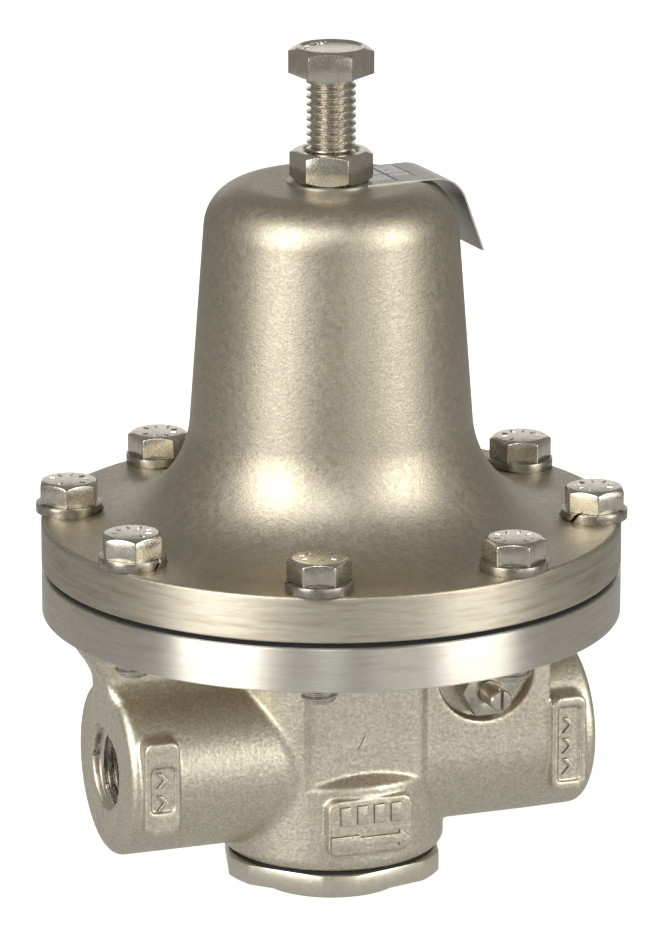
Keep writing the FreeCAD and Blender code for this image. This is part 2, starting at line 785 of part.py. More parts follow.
def make_bonnet():
    """The bonnet casting, stored as rings that meet face to face."""
    body = new_body("bonnet_casting")
    base = "flange_top + gasket_thickness + 2 * ply_thickness"
    profile = [
        ("0", base),
        ("flange_radius", base),
        ("flange_radius", "bonnet_flange_top"),
        ("bonnet_flare_corner_radius", "bonnet_flange_top"),
        ("bonnet_shoulder_corner_radius", "bonnet_top"),
        ("0", "bonnet_top"),
    ]
    revolve(body, profile)
    dress(body, "Fillet", "bonnet_flange_rounding", circle_at("flange_radius", "bonnet_flange_top"))
    dress(body, "Fillet", "bonnet_flare", circle_at("bonnet_flare_corner_radius", "bonnet_flange_top"))
    dress(body, "Fillet", "bonnet_shoulder", circle_at("bonnet_shoulder_corner_radius", "bonnet_top"))
    dress(body, "Chamfer", "flange_edge_chamfer", circle_at("flange_radius", base))
    cavity = [
        ("0", f"{base} - over"),
        ("cavity_mouth_radius", f"{base} - over"),
        ("cavity_mouth_radius", "cavity_mouth_top"),
        ("cavity_low_radius", "cavity_mouth_top"),
        ("cavity_high_radius", "cavity_top"),
        ("0", "cavity_top"),
    ]
    revolve(body, cavity, cut=True)
    dress(body, "Fillet", "cavity_flare", circle_at("cavity_low_radius", "cavity_mouth_top"))
    dress(body, "Fillet", "cavity_shoulder", circle_at("cavity_high_radius", "cavity_top"))
    ring(body, "0", "screw_clearance_radius", "cavity_top - over", "bonnet_top + over", cut=True)
    seat_depth = "bonnet_flare / 2"
    seat_start = f"bonnet_flange_top + {seat_depth}"
    seat = drill(body, "XY_Plane", *bolt_place(), "bolt_seat_radius", seat_start, seat_depth)
    polar(body, seat, "bolt_count")
    length = f"bonnet_flange_top + 2 * over - ({base})"
    hole = drill(body, "XY_Plane", *bolt_place(), "bolt_clearance_radius", "bonnet_flange_top + over", length)
    polar(body, hole, "bolt_count")
    levels = ["cavity_mouth_top", "bell_low", "cavity_top - cavity_shoulder", "cavity_top"]
    store("bonnet", layers(body.Shape, UP, levels))
    return body


def make_flange_ring(label, inner, low, thickness):
    """A flat ring between the flanges, with the bolt holes."""
    body = new_body(label)
    ring(body, inner, "diaphragm_radius", low, f"{low} + {thickness}")
    start = f"{low} + {thickness} + over"
    hole = drill(body, "XY_Plane", *bolt_place(), "bolt_clearance_radius", start, f"{thickness} + 2 * over")
    polar(body, hole, "bolt_count")


def at_each_bolt(shape, turns, height):
    """Copies of a shape on the bolt circle at a height, each first turned about its own axis."""
    copies = []
    for angle, turn in zip(BOLT_ANGLES, turns):
        copy = shape.copy()
        copy.rotate(Vector(), UP, turn)
        radius = value("bolt_circle_radius")
        x = radius * math.cos(math.radians(angle))
        y = radius * math.sin(math.radians(angle))
        copy.translate(Vector(x, y, value(height)))
        copies.append(copy)
    return copies


def make_flange_bolts():
    """Eight hexagon head bolts, each turned as it was left by the wrench."""
    bolt = new_body("flange_bolt_shape")
    ring(bolt, "0", "bolt_shank_radius", "-bolt_length", "0.5")
    prism(bolt, "bolt_head_flats", 0, "0", "bolt_head_height")
    bevel_hexagon(bolt, "bolt_head_flats", "bolt_head_flats * 0.47", "bolt_head_height")
    dress(bolt, "Chamfer", "bolt_point", circle_at("bolt_shank_radius", "-bolt_length"))
    low = "-bolt_length - bolt_thread_pitch"
    high = "-bolt_length + bolt_thread_length"
    cut_thread(bolt, "bolt_shank_radius", "bolt_thread_depth", "bolt_thread_pitch", low, high)
    head = "bonnet_flange_top + washer_thickness"
    store("flange_bolts", at_each_bolt(bolt.Shape, BOLT_HEAD_TURNS, head))
    return bolt


def make_lock_washers():
    """Eight split spring washers, each with its gap turned its own way."""
    washer = new_body("lock_washer_shape")
    ring(washer, "washer_inner_radius", "washer_outer_radius", "0", "washer_thickness")
    slant = "washer_thickness * 0.45"
    sketch = new_sketch(washer, "YZ_Plane", "0")
    gap = [
        (f"-washer_gap / 2 - {slant}", "-0.1"),
        (f"washer_gap / 2 - {slant}", "-0.1"),
        (f"washer_gap / 2 + {slant}", "washer_thickness + 0.1"),
        (f"-washer_gap / 2 + {slant}", "washer_thickness + 0.1"),
    ]
    add_outline(sketch, gap)
    pocket(washer, sketch, "washer_outer_radius + over", reverse=True)
    store("lock_washers", at_each_bolt(washer.Shape, WASHER_GAP_TURNS, "bonnet_flange_top"))
    return washer


def make_seat_ring():
    body = new_body("seat_ring")
    profile = [
        ("seat_bore_radius", "seat_low"),
        ("seat_lip_radius", "seat_low"),
        ("seat_lip_radius + 0.8", "seat_flange_low"),
        ("seat_flange_radius", "seat_flange_low"),
        ("seat_flange_radius", "lower_chamber_top"),
        ("web_bore_radius - seat_play", "lower_chamber_top"),
        ("web_bore_radius - seat_play", "seat_top"),
        ("seat_bore_radius", "seat_top"),
    ]
    revolve(body, profile)


def make_guide_bushing():
    body = new_body("guide_bushing")
    outer = "guide_bore_radius - seat_play"
    ring(body, "guide_bore_clearance_radius", outer, "upper_chamber_top", "diaphragm_chamber_floor")
    dress(body, "Chamfer", "0.6", circle_at("guide_bore_clearance_radius", "diaphragm_chamber_floor"))


# ---- adjusting gear ----


def make_adjusting_screw():
    body = new_body("adjusting_screw")
    ring(body, "0", "screw_radius", "screw_tip", "screw_head_base + over")
    prism(body, "screw_head_flats", SCREW_HEAD_TURN, "screw_head_base", "screw_head_top - screw_head_base")
    bevel_hexagon(body, "screw_head_flats", "screw_head_flats * 0.46", "screw_head_top")
    dish = [
        ("0", "screw_head_top - screw_head_dish"),
        ("screw_head_flats * 0.40", "screw_head_top - screw_head_dish"),
        ("screw_head_flats * 0.435", "screw_head_top + 0.1"),
        ("0", "screw_head_top + 0.1"),
    ]
    revolve(body, dish, cut=True)
    dress(body, "Chamfer", "1.2", circle_at("screw_radius", "screw_tip"))
    low = "screw_tip - 1.5 * screw_pitch"
    high = "screw_head_base - screw_neck"
    cut_thread(body, "screw_radius", "screw_thread_depth", "screw_pitch", low, high)


def make_jam_nut():
    body = new_body("jam_nut")
    prism(body, "nut_flats", JAM_NUT_TURN, "nut_base", "nut_top - nut_base")
    bevel_hexagon(body, "nut_flats", "nut_chamfer_radius", "nut_top")
    bevel_hexagon(body, "nut_flats", "nut_chamfer_radius", "nut_base", up=False)
    ring(body, "0", "screw_clearance_radius", "nut_base - over", "nut_top + over", cut=True)
    dress(body, "Chamfer", "0.9", circle_at("screw_clearance_radius", "nut_top"))


def make_name_tag():
    """A thin metal strip under the jam nut, bent down over the bonnet's shoulder."""
    body = new_body("name_tag")
    path = new_sketch(body, "XZ_Plane")
    level = "bonnet_top + tag_thickness / 2"
    start = "0"
    turn = math.radians(value("tag_drop_angle"))
    bend = value("tag_bend_radius")
    bend_start = Vector(value("tag_bend_start"), value(level), 0)
    centre = bend_start - Vector(0, bend, 0)
    bend_end = centre + Vector(bend * math.sin(turn), bend * math.cos(turn), 0)
    drop = value("tag_drop_length")
    tip = bend_end + Vector(drop * math.cos(turn), -drop * math.sin(turn), 0)
    flat = path.addGeometry(Part.LineSegment(Vector(value(start), value(level), 0), bend_start))
    arc = path.addGeometry(
        Part.ArcOfCircle(Part.Circle(centre, Vector(0, 0, 1), bend), math.pi / 2 - turn, math.pi / 2)
    )
    fall = path.addGeometry(Part.LineSegment(bend_end, tip))
    path.addConstraint(Sketcher.Constraint("Tangent", flat, 2, arc, 2))
    path.addConstraint(Sketcher.Constraint("Tangent", arc, 1, fall, 1))
    pin_point(path, flat, 1, start, level)
    pin_point(path, flat, 2, "tag_bend_start", level)
    for kind, element, size in (
        ("Radius", arc, "tag_bend_radius"),
        ("Distance", fall, "tag_drop_length"),
        ("Angle", fall, "-tag_drop_angle"),
    ):
        amount = math.radians(value(size)) if kind == "Angle" else value(size)
        index = path.addConstraint(Sketcher.Constraint(kind, element, amount))
        text = f"{bound(size)} * 1 deg" if kind == "Angle" else bound(size)
        path.setExpression(f"Constraints[{index}]", text)
    section = new_sketch(body, "YZ_Plane", start)
    low = "bonnet_top"
    add_outline(section, rectangle("-tag_width / 2", low, "tag_width / 2", f"{low} + tag_thickness"))
    doc.recompute()
    strip = body.newObject("PartDesign::AdditivePipe", "name_tag_strip")
    strip.Profile = section
    strip.Spine = (path, ["Edge1", "Edge2", "Edge3"])
    doc.recompute()
    ring(body, "0", "tag_end_radius", "bonnet_top", "bonnet_top + tag_thickness")
    ring(body, "0", "tag_hole_radius", "bonnet_top - over", "bonnet_top + over", cut=True)
    body.Placement = Placement(Vector(), Rotation(Vector(0, 0, 1), TAG_TURN))


def make_spring_button():
    body = new_body("spring_button")
    profile = [
        ("0", "button_boss_low"),
        ("button_boss_radius - 1.5", "button_boss_low"),
        ("button_boss_radius", "button_boss_low + 1.5"),
        ("button_boss_radius", "button_low"),
        ("button_radius", "button_low"),
        ("button_radius", "button_high - 2"),
        ("button_radius - 2", "button_high"),
        ("button_dimple_radius", "button_high"),
        ("button_dimple_radius", "screw_tip"),
        ("0", "screw_tip"),
    ]
    revolve(body, profile)


def make_range_spring():
    body = new_body("range_spring")
    sizes = ["range_spring_mean_radius", "range_spring_wire_radius", "range_spring_pitch"]
    coil(body, *sizes, "plate_top", "button_low")


# ---- diaphragm and valve plug ----


def make_pressure_plate():
    body = new_body("pressure_plate")
    low = "flange_top + gasket_thickness + 2 * ply_thickness"
    profile = [
        ("stem_bore_radius", low),
        ("plate_radius - 2", low),
        ("plate_radius", f"{low} + 2"),
        ("plate_radius", "plate_top"),
        ("plate_boss_radius", "plate_top"),
        ("plate_boss_radius", "plate_boss_top - 1.2"),
        ("plate_boss_radius - 1.2", "plate_boss_top"),
        ("stem_washer_radius + 2.5", "plate_boss_top"),
        ("stem_washer_radius + 2.5", "plate_top"),
        ("stem_bore_radius", "plate_top"),
    ]
    revolve(body, profile)


def make_diaphragm_washer():
    body = new_body("diaphragm_washer")
    ring(body, "stem_bore_radius", "washer_plate_radius", "washer_plate_low", "flange_top + gasket_thickness")
    dress(body, "Chamfer", "1", circle_at("washer_plate_radius", "washer_plate_low"))


def make_stem():
    body = new_body("stem")
    profile = [
        ("0", "stem_bottom"),
        ("stem_thread_radius - 0.6", "stem_bottom"),
        ("stem_thread_radius", "stem_bottom + 0.6"),
        ("stem_thread_radius", "retainer_top"),
        ("stem_radius", "retainer_top"),
        ("stem_radius", "washer_plate_low"),
        ("stem_thread_radius", "washer_plate_low"),
        ("stem_thread_radius", "stem_top - 0.6"),
        ("stem_thread_radius - 0.6", "stem_top"),
        ("0", "stem_top"),
    ]
    revolve(body, profile)


def make_stem_washer():
    body = new_body("stem_washer")
    ring(body, "stem_bore_radius", "stem_washer_radius", "plate_top", "plate_top + stem_washer_thickness")


def make_small_nut(label, flats, low, height):
    body = new_body(label)
    prism(body, flats, 0, low, height)
    bevel_hexagon(body, flats, f"{flats} * 0.48", f"{low} + {height}")
    ring(body, "0", "stem_bore_radius", f"{low} - over", f"{low} + {height} + over", cut=True)


def make_plug_holder():
    body = new_body("plug_holder")
    profile = [
        ("plug_skirt_radius", "plug_bottom"),
        ("plug_radius", "plug_bottom"),
        ("plug_radius", "plug_rim"),
        ("disc_radius + 0.05", "plug_rim"),
        ("disc_radius + 0.05", "disc_low"),
        ("stem_bore_radius", "disc_low"),
        ("stem_bore_radius", "plug_web_low"),
        ("plug_skirt_radius", "plug_web_low"),
    ]
    revolve(body, profile)


def make_seat_disc():
    body = new_body("seat_disc")
    ring(body, "stem_bore_radius", "disc_radius", "disc_low", "disc_high")


def make_disc_retainer():
    body = new_body("disc_retainer")
    ring(body, "stem_bore_radius", "retainer_radius", "disc_high", "retainer_top")


def make_return_spring():
    body = new_body("return_spring")
    sizes = ["return_spring_mean_radius", "return_spring_wire_radius", "return_spring_pitch"]
    coil(body, *sizes, "cap_bore_floor", "plug_web_low")


# ---- sensing screw ----


def make_sensing_lock_nut():
    body = new_body("sensing_lock_nut")
    sketch = new_sketch(body, "XZ_Plane", "sensing_pocket_floor")
    add_outline(sketch, hexagon("sensing_nut_flats", SENSING_NUT_TURN, "sensing_x", "sensing_z"))
    pad(body, sketch, "sensing_nut_height")
    start = "sensing_pocket_floor + sensing_nut_height + over"
    length = "sensing_nut_height + 2 * over"
    drill(body, "XZ_Plane", "sensing_x", "sensing_z", "sensing_thread_radius", start, length)


def make_sensing_screw():
    body = new_body("sensing_screw")
    shank = "sensing_thread_radius - seat_play"
    for radius, start, end in (
        ("sensing_needle_radius", "sensing_y - 1.5", "sensing_y + 4"),
        (shank, "sensing_y + 3", "sensing_screw_end"),
    ):
        sketch = new_sketch(body, "XZ_Plane", start)
        add_circle(sketch, "sensing_x", "sensing_z", radius)
        pad(body, sketch, f"{end} - ({start})")
    tip = value("sensing_screw_end")

    def outer_rim(edge, middle):
        return abs(middle.y + tip) < 0.01

    dress(body, "Chamfer", "0.5", outer_rim)
    sketch = new_sketch(body, "XZ_Plane", "sensing_screw_end - sensing_slot_depth")
    left = "sensing_x - sensing_slot_width / 2"
    right = "sensing_x + sensing_slot_width / 2"
    reach = "sensing_thread_radius + over"
    add_outline(sketch, rectangle(left, f"sensing_z - ({reach})", right, f"sensing_z + {reach}"))
    pocket(body, sketch, "sensing_slot_depth + over", reverse=True)


# ---- build, check and write ----

make_bottom_cap()
make_cap_gasket()
templates = [make_valve_body(), make_bonnet()]
make_flange_ring("diaphragm_gasket", "diaphragm_chamber_radius", "flange_top", "gasket_thickness")
ply_low = "flange_top + gasket_thickness"
make_flange_ring("diaphragm_lower_ply", "stem_hole_radius", ply_low, "ply_thickness")
make_flange_ring("diaphragm_upper_ply", "stem_hole_radius", f"{ply_low} + ply_thickness", "ply_thickness")
templates += [make_flange_bolts(), make_lock_washers()]
make_seat_ring()
make_guide_bushing()
make_adjusting_screw()
make_jam_nut()
make_name_tag()
make_spring_button()
make_range_spring()
make_pressure_plate()
make_diaphragm_washer()
make_stem()
make_stem_washer()
make_small_nut("stem_nut", "stem_nut_flats", "plate_top + stem_washer_thickness", "stem_nut_height")
make_small_nut("stem_end_nut", "end_nut_flats", "plug_web_low - end_nut_height", "end_nut_height")
make_plug_holder()
make_seat_disc()
make_disc_retainer()
make_return_spring()
make_sensing_lock_nut()
make_sensing_screw()
doc.recompute()

for item in doc.Objects:
    if "Invalid" in item.State or "Error" in item.State:
        raise RuntimeError(f"{item.Label} is {item.State}")

sub_parts = [
    item
    for item in doc.Objects
    if item.TypeId in ("PartDesign::Body", "Part::Feature") and item not in templates
]
for item in sub_parts:
    if item.Shape.isNull() or not item.Shape.isValid():
        raise RuntimeError(f"{item.Label} has no valid shape")

os.makedirs("parts", exist_ok=True)
for item in sub_parts:
    item.Shape.exportStep(f"parts/{item.Label}.step")
    print(f"{item.Label}: {len(item.Shape.Solids)} solids, {item.Shape.Volume / 1000:.2f} cm3")
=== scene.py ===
import json
import math

import bmesh
import bpy
import numpy as np
from mathutils import Matrix, Vector

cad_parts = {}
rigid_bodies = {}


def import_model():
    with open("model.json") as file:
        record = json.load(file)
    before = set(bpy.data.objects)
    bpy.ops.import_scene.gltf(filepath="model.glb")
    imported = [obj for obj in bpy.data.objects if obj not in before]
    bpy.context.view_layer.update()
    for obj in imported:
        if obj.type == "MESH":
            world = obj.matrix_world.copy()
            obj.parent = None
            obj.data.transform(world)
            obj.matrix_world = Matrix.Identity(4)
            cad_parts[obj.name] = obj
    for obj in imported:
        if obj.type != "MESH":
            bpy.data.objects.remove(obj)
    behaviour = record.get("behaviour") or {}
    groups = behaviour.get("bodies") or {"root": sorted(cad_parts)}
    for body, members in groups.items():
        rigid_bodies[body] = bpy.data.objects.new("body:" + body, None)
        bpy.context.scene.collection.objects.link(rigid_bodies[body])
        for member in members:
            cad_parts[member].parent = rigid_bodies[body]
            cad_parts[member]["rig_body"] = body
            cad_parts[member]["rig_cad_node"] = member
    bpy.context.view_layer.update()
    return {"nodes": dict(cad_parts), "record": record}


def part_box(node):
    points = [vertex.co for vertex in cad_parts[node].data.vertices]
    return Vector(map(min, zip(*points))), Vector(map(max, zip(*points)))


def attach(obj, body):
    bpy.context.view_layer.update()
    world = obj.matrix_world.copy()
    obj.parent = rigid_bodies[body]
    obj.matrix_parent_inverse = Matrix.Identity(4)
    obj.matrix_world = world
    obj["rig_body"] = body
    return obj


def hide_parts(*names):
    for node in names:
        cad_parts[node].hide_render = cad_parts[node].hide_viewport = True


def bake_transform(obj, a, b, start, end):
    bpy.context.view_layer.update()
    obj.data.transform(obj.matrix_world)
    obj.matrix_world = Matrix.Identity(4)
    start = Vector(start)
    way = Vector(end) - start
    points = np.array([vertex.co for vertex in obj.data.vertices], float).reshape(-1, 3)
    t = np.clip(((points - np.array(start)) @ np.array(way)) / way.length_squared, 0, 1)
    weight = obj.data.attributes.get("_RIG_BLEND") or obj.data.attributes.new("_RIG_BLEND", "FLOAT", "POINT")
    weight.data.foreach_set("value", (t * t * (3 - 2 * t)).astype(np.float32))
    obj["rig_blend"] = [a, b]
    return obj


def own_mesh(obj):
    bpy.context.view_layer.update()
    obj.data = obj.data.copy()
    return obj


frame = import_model()

MM = 0.001
NODES = frame["nodes"]

# ---- sizes that the looks need, in millimetres, read from the frame where it holds them ----


def low_high(node):
    """A CAD node's lowest and highest corners in millimetres."""
    low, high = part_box(node)
    return np.array(low) / MM, np.array(high) / MM


BODY_LOW, BODY_HIGH = low_high("valve_body")
BONNET_LOW, BONNET_HIGH = low_high("bonnet")
PLATE_RADIUS = low_high("pressure_plate")[1][0]
BOLT_TOP = low_high("flange_bolts")[1][2]
SCREW_TOP = low_high("adjusting_screw")[1][2]

# The body flange, and the diaphragm chamber sunk in it and in the bonnet.
FLANGE_RADIUS = BODY_HIGH[1]
FLANGE_TOP = BODY_HIGH[2]
FLANGE_THICKNESS = 11.5
FLANGE_UNDER = FLANGE_TOP - FLANGE_THICKNESS
CHAMBER_RADIUS = 56.0
CHAMBER_FLOOR = 78.6

# The casting below it: column, inlet hub, rib, outlet hub and its square web.
BODY_BOTTOM = BODY_LOW[2]
COLUMN_RADIUS = 29.3
FRONT_FLAT = 25.1
LEDGE_HEIGHT = 35.5
LEDGE_SAG = 0.012
PORT_HEIGHT = 36.4
HUB_RADIUS = 22.9
HUB_ROUNDING = 2.5
HUB_DRAFT = 0.02
INLET_FACE = 62.2
OUTLET_FACE = 66.2
WEB_END = 52.7
RIB_FOOT = 61.2
RIB_HALF_WIDTH = 6.5

# The ports and their 14 threads per inch.
PORT_CREST = 9.4
PORT_ROOT = 10.5
PORT_MOUTH = 11.2
PORT_BORE = PORT_ROOT + 0.2
PORT_DEPTH = 20.0
THREAD_PITCH = 1.814

# The column's hollows, and half the width of the windows that lead to them.
CAP_BORE_RADIUS = 24.0
LOWER_CHAMBER_RADIUS = 22.0
SEAT_BORE_RADIUS = 12.0
UPPER_CHAMBER_RADIUS = 21.0
STEM_BORE_RADIUS = 8.0
WINDOW_HALF_WIDTH = 9.0

# The bonnet and the bolts.
BONNET_FLANGE_TOP = 98.7
BONNET_CEILING = BONNET_LOW[2] + 88
BONNET_ROOF = 94.6
CROWN_HOLE_RADIUS = 6.65
BOLT_CIRCLE = 68.05
BOLT_ANGLES = [112.5, 157.5, -157.5, -112.5, -67.5, -22.5, 22.5, 67.5]
SPOT_FACE_RADIUS = 9.0
BOLT_HOLE_RADIUS = 5.2

# Marks, badges and the sensing screw's pocket: faces are distances in front of the axis.
BADGE_FACE = 29.9
SIDE_BADGE_FACE = 24.6
SIDE_RECESS_FACE = 23.7
INLET_CHEVRON_X = -54.5
OUTLET_CHEVRON_X = 57.2
SENSING_AXIS = (34.5, 54.0)
SENSING_POCKET = (34.6, 58.8)
SENSING_POCKET_RADIUS = 13.3
SENSING_POCKET_FACE = 19.1
SENSING_HOLE_RADIUS = 3.0
TAG_TURN = 4.65


# ---- mesh helpers ----


def new_object(name, vertices, faces, body, smooth=True):
    """A mesh object from vertices in millimetres, riding on a body."""
    mesh = bpy.data.meshes.new(name)
    mesh.from_pydata([tuple(np.asarray(v, float) * MM) for v in vertices], [], [tuple(f) for f in faces])
    mesh.validate()
    mesh.update()
    piece = bpy.data.objects.new(name, mesh)
    bpy.context.scene.collection.objects.link(piece)
    if smooth:
        mesh.shade_smooth()
    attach(piece, body)
    return piece


def apply_modifiers(piece):
    """Turn the modifiers' result into the piece's own mesh."""
    graph = bpy.context.evaluated_depsgraph_get()
    mesh = bpy.data.meshes.new_from_object(piece.evaluated_get(graph))
    piece.modifiers.clear()
    old = piece.data
    piece.data = mesh
    bpy.data.meshes.remove(old)


def soften(piece, width, angle=28, segments=2):
    """Round every edge sharper than angle, then shade smooth up to a little more than that."""
    bevel = piece.modifiers.new("edges", "BEVEL")
    bevel.width = width * MM
    bevel.segments = segments
    bevel.limit_method = "ANGLE"
    bevel.angle_limit = math.radians(angle)
    bevel.harden_normals = False
    apply_modifiers(piece)
    piece.data.shade_smooth()
    piece.data.set_sharp_from_angle(angle=math.radians(angle + 12))


def rounded_profile(corners, steps=8):
    """Points of a closed profile whose corners are (x, y, radius), each rounded by an arc."""
    count = len(corners)
    points = []
    for index, (x, y, radius) in enumerate(corners):
        here = np.array([x, y], float)
        if radius <= 0:
            points.append(here)
            continue
        before = np.array(corners[index - 1][:2], float) - here
        after = np.array(corners[(index + 1) % count][:2], float) - here
        before /= np.linalg.norm(before)
        after /= np.linalg.norm(after)
        half = math.acos(np.clip(before @ after, -1, 1)) / 2
        middle = before + after
        centre = here + middle / np.linalg.norm(middle) * radius / math.sin(half)
        start = here + before * radius / math.tan(half) - centre
        end = here + after * radius / math.tan(half) - centre
        turn = math.atan2(start[0] * end[1] - start[1] * end[0], start @ end)
        arc_steps = max(3, round(steps * abs(turn) / math.radians(90) * max(1, math.sqrt(radius / 4))))
        for step in range(arc_steps + 1):
            angle = turn * step / arc_steps
            spin = np.array([[math.cos(angle), -math.sin(angle)], [math.sin(angle), math.cos(angle)]])
            points.append(centre + spin @ start)
    return points


def lathe(name, profile, body, segments=256):
    """Turn a closed profile of (radius, height) about Z. A point at radius 0 is a pole."""
    vertices = []
    rings = []
    for radius, height in profile:
        if radius < 1e-6:
            rings.append([len(vertices)] * segments)
            vertices.append((0, 0, height))
        else:
            first = len(vertices)
            rings.append(list(range(first, first + segments)))
            for k in range(segments):
                angle = 2 * math.pi * k / segments
                vertices.append((radius * math.cos(angle), radius * math.sin(angle), height))
    faces = []
    for here, there in zip(rings, rings[1:] + rings[:1]):
        for k in range(segments):
            n = (k + 1) % segments
            face = [here[k], here[n], there[n], there[k]]
            unique = list(dict.fromkeys(face))
            if len(unique) > 2:
                faces.append(unique)
    piece = new_object(name, vertices, faces, body)
    make_outward(piece)
    piece.data.set_sharp_from_angle(angle=math.radians(35))
    return piece


def make_outward(piece):
    """Turn every face so that its normal points out of the solid."""
    edit = bmesh.new()
    edit.from_mesh(piece.data)
    bmesh.ops.recalc_face_normals(edit, faces=edit.faces)
    edit.to_mesh(piece.data)
    edit.free()


def cylinder(radius, start, end, segments=48):
    """A scratch solid for cutting, between two points in millimetres."""
    start = Vector(start)
    end = Vector(end)
    along = end - start
    edit = bmesh.new()
    bmesh.ops.create_cone(
        edit,
        cap_ends=True,
        segments=segments,
        radius1=radius * MM,
        radius2=radius * MM,
        depth=along.length * MM,
    )
    turn = along.to_track_quat("Z", "Y").to_matrix().to_4x4()
    edit.transform(Matrix.Translation((start + end) / 2 * MM) @ turn)
    mesh = bpy.data.meshes.new("cutter")
    edit.to_mesh(mesh)
    edit.free()
    return bpy.data.objects.new("cutter", mesh)


def cut(piece, cutters):
    """Take the cutters' joined volume away from the piece."""
    for cutter in cutters:
        bpy.context.scene.collection.objects.link(cutter)
        boolean = piece.modifiers.new("cut", "BOOLEAN")
        boolean.operation = "DIFFERENCE"
        boolean.solver = "EXACT"
        boolean.object = cutter
    apply_modifiers(piece)
    for cutter in cutters:
        mesh = cutter.data
        bpy.data.objects.remove(cutter)
        bpy.data.meshes.remove(mesh)


def from_cad(name, node, body, width, region=None):
    """A copy of a CAD node with its flat faces joined and its sharp edges rounded, inside a region."""
    mesh = NODES[node].data.copy()
    mesh.name = name
    piece = bpy.data.objects.new(name, mesh)
    bpy.context.scene.collection.objects.link(piece)
    edit = bmesh.new()
    edit.from_mesh(mesh)
    bmesh.ops.remove_doubles(edit, verts=edit.verts, dist=0.002 * MM)
    chosen = [v for v in edit.verts if region is None or region(v.co / MM)]
    kept = set(chosen)
    inner = [e for e in edit.edges if all(v in kept for v in e.verts)]
    bmesh.ops.dissolve_limit(
        edit, angle_limit=math.radians(0.6), verts=chosen, edges=inner, delimit={"NORMAL"}
    )
    layer = edit.edges.layers.float.new("bevel_weight_edge")
    for edge in edit.edges:
        if len(edge.link_faces) == 2 and edge.calc_face_angle(0) > math.radians(24):
            middle = (edge.verts[0].co + edge.verts[1].co) / 2 / MM
            if region is None or region(middle):
                edge[layer] = 1.0
    edit.to_mesh(mesh)
    edit.free()
    for attribute in [a for a in mesh.attributes if a.name == "custom_normal"]:
        mesh.attributes.remove(attribute)
    bevel = piece.modifiers.new("edges", "BEVEL")
    bevel.width = width * MM
    bevel.segments = 2
    bevel.limit_method = "WEIGHT"
    apply_modifiers(piece)
    piece.data.shade_smooth()
    piece.data.set_sharp_from_angle(angle=math.radians(40))
    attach(piece, body)
    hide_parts(node)
    return piece


# ---- a solid given by its signed distance, meshed on a grid ----


def surface_net(field, origin, step):
    """Vertices and quads of the surface where field, sampled on a grid, crosses zero."""
    inside = field < 0
    shape = np.array(field.shape)
    offsets = [(i, j, k) for i in (0, 1) for j in (0, 1) for k in (0, 1)]
    count = np.zeros(shape - 1, np.int8)
    for i, j, k in offsets:
        count += inside[i : shape[0] - 1 + i, j : shape[1] - 1 + j, k : shape[2] - 1 + k]
    active = (count > 0) & (count < 8)
    index = np.full(active.shape, -1, np.int64)
    index[active] = np.arange(active.sum())
    cells = np.argwhere(active)
    total = np.zeros((len(cells), 3))
    hits = np.zeros(len(cells))
    for axis in range(3):
        for corner in offsets:
            if corner[axis]:
                continue
            a = cells + corner
            b = a.copy()
            b[:, axis] += 1
            fa = field[a[:, 0], a[:, 1], a[:, 2]]
            fb = field[b[:, 0], b[:, 1], b[:, 2]]
            crossing = (fa < 0) != (fb < 0)
            share = fa[crossing] / (fa[crossing] - fb[crossing])
            point = a[crossing].astype(float)
            point[:, axis] += share
            total[crossing] += point
            hits[crossing] += 1
    vertices = origin + step * total / hits[:, None]
    quads = []
    for axis in range(3):
        u = (axis + 1) % 3
        v = (axis + 2) % 3
        low = [slice(1, -1)] * 3
        high = [slice(1, -1)] * 3
        low[axis] = slice(0, -1)
        high[axis] = slice(1, None)
        change = inside[tuple(low)] != inside[tuple(high)]
        place = np.argwhere(change)
        shift = np.ones(3, int)
        shift[axis] = 0
        place = place + shift
        ring = []
        for du, dv in ((0, 0), (1, 0), (1, 1), (0, 1)):
            cell = place.copy()
            cell[:, u] -= du
            cell[:, v] -= dv
            ring.append(index[cell[:, 0], cell[:, 1], cell[:, 2]])
        ring = np.stack(ring, axis=1)
        starts_inside = inside[place[:, 0], place[:, 1], place[:, 2]]
        ring[~starts_inside] = ring[~starts_inside][:, ::-1]
        quads.append(ring)
    return vertices, np.concatenate(quads)


def join_round(a, b, radius):
    """The union of two solids with a fillet of this radius where they meet."""
    near = np.hypot(np.maximum(radius - a, 0), np.maximum(radius - b, 0))
    return np.maximum(radius, np.minimum(a, b)) - near


def meet_round(a, b, radius):
    """The common part of two solids with a rounded edge of this radius."""
    near = np.hypot(np.maximum(radius + a, 0), np.maximum(radius + b, 0))
    return np.minimum(-radius, np.maximum(a, b)) + near


def cut_round(a, b, radius):
    """The first solid without the second, with a rounded edge of this radius."""
    return meet_round(a, -b, radius)


def rounded_panel(x, z, left, low, right, high, corner):
    """Signed distance of a rounded rectangle in the XZ plane."""
    qx = np.abs(x - (left + right) / 2) - (right - left) / 2 + corner
    qz = np.abs(z - (low + high) / 2) - (high - low) / 2 + corner
    outside = np.hypot(np.maximum(qx, 0), np.maximum(qz, 0))
    return outside + np.minimum(np.maximum(qx, qz), 0) - corner


def column_field(x, y, z):
    """The round column, with its front cut flat above an arched ledge."""
    column = meet_round(np.hypot(x, y) - COLUMN_RADIUS, BODY_BOTTOM - z, 3.0)
    ledge = LEDGE_HEIGHT - LEDGE_SAG * x**2
    slope = 0.511 * (y + FRONT_FLAT) - 0.859 * (z - ledge)
    return cut_round(column, np.maximum(y + FRONT_FLAT, slope), 0.8)


def inlet_field(x, y, z):
    """The inlet hub, a round boss."""
    around_port = np.hypot(y, z - PORT_HEIGHT)
    return np.maximum(meet_round(around_port - HUB_RADIUS, -INLET_FACE - x, HUB_ROUNDING), x)


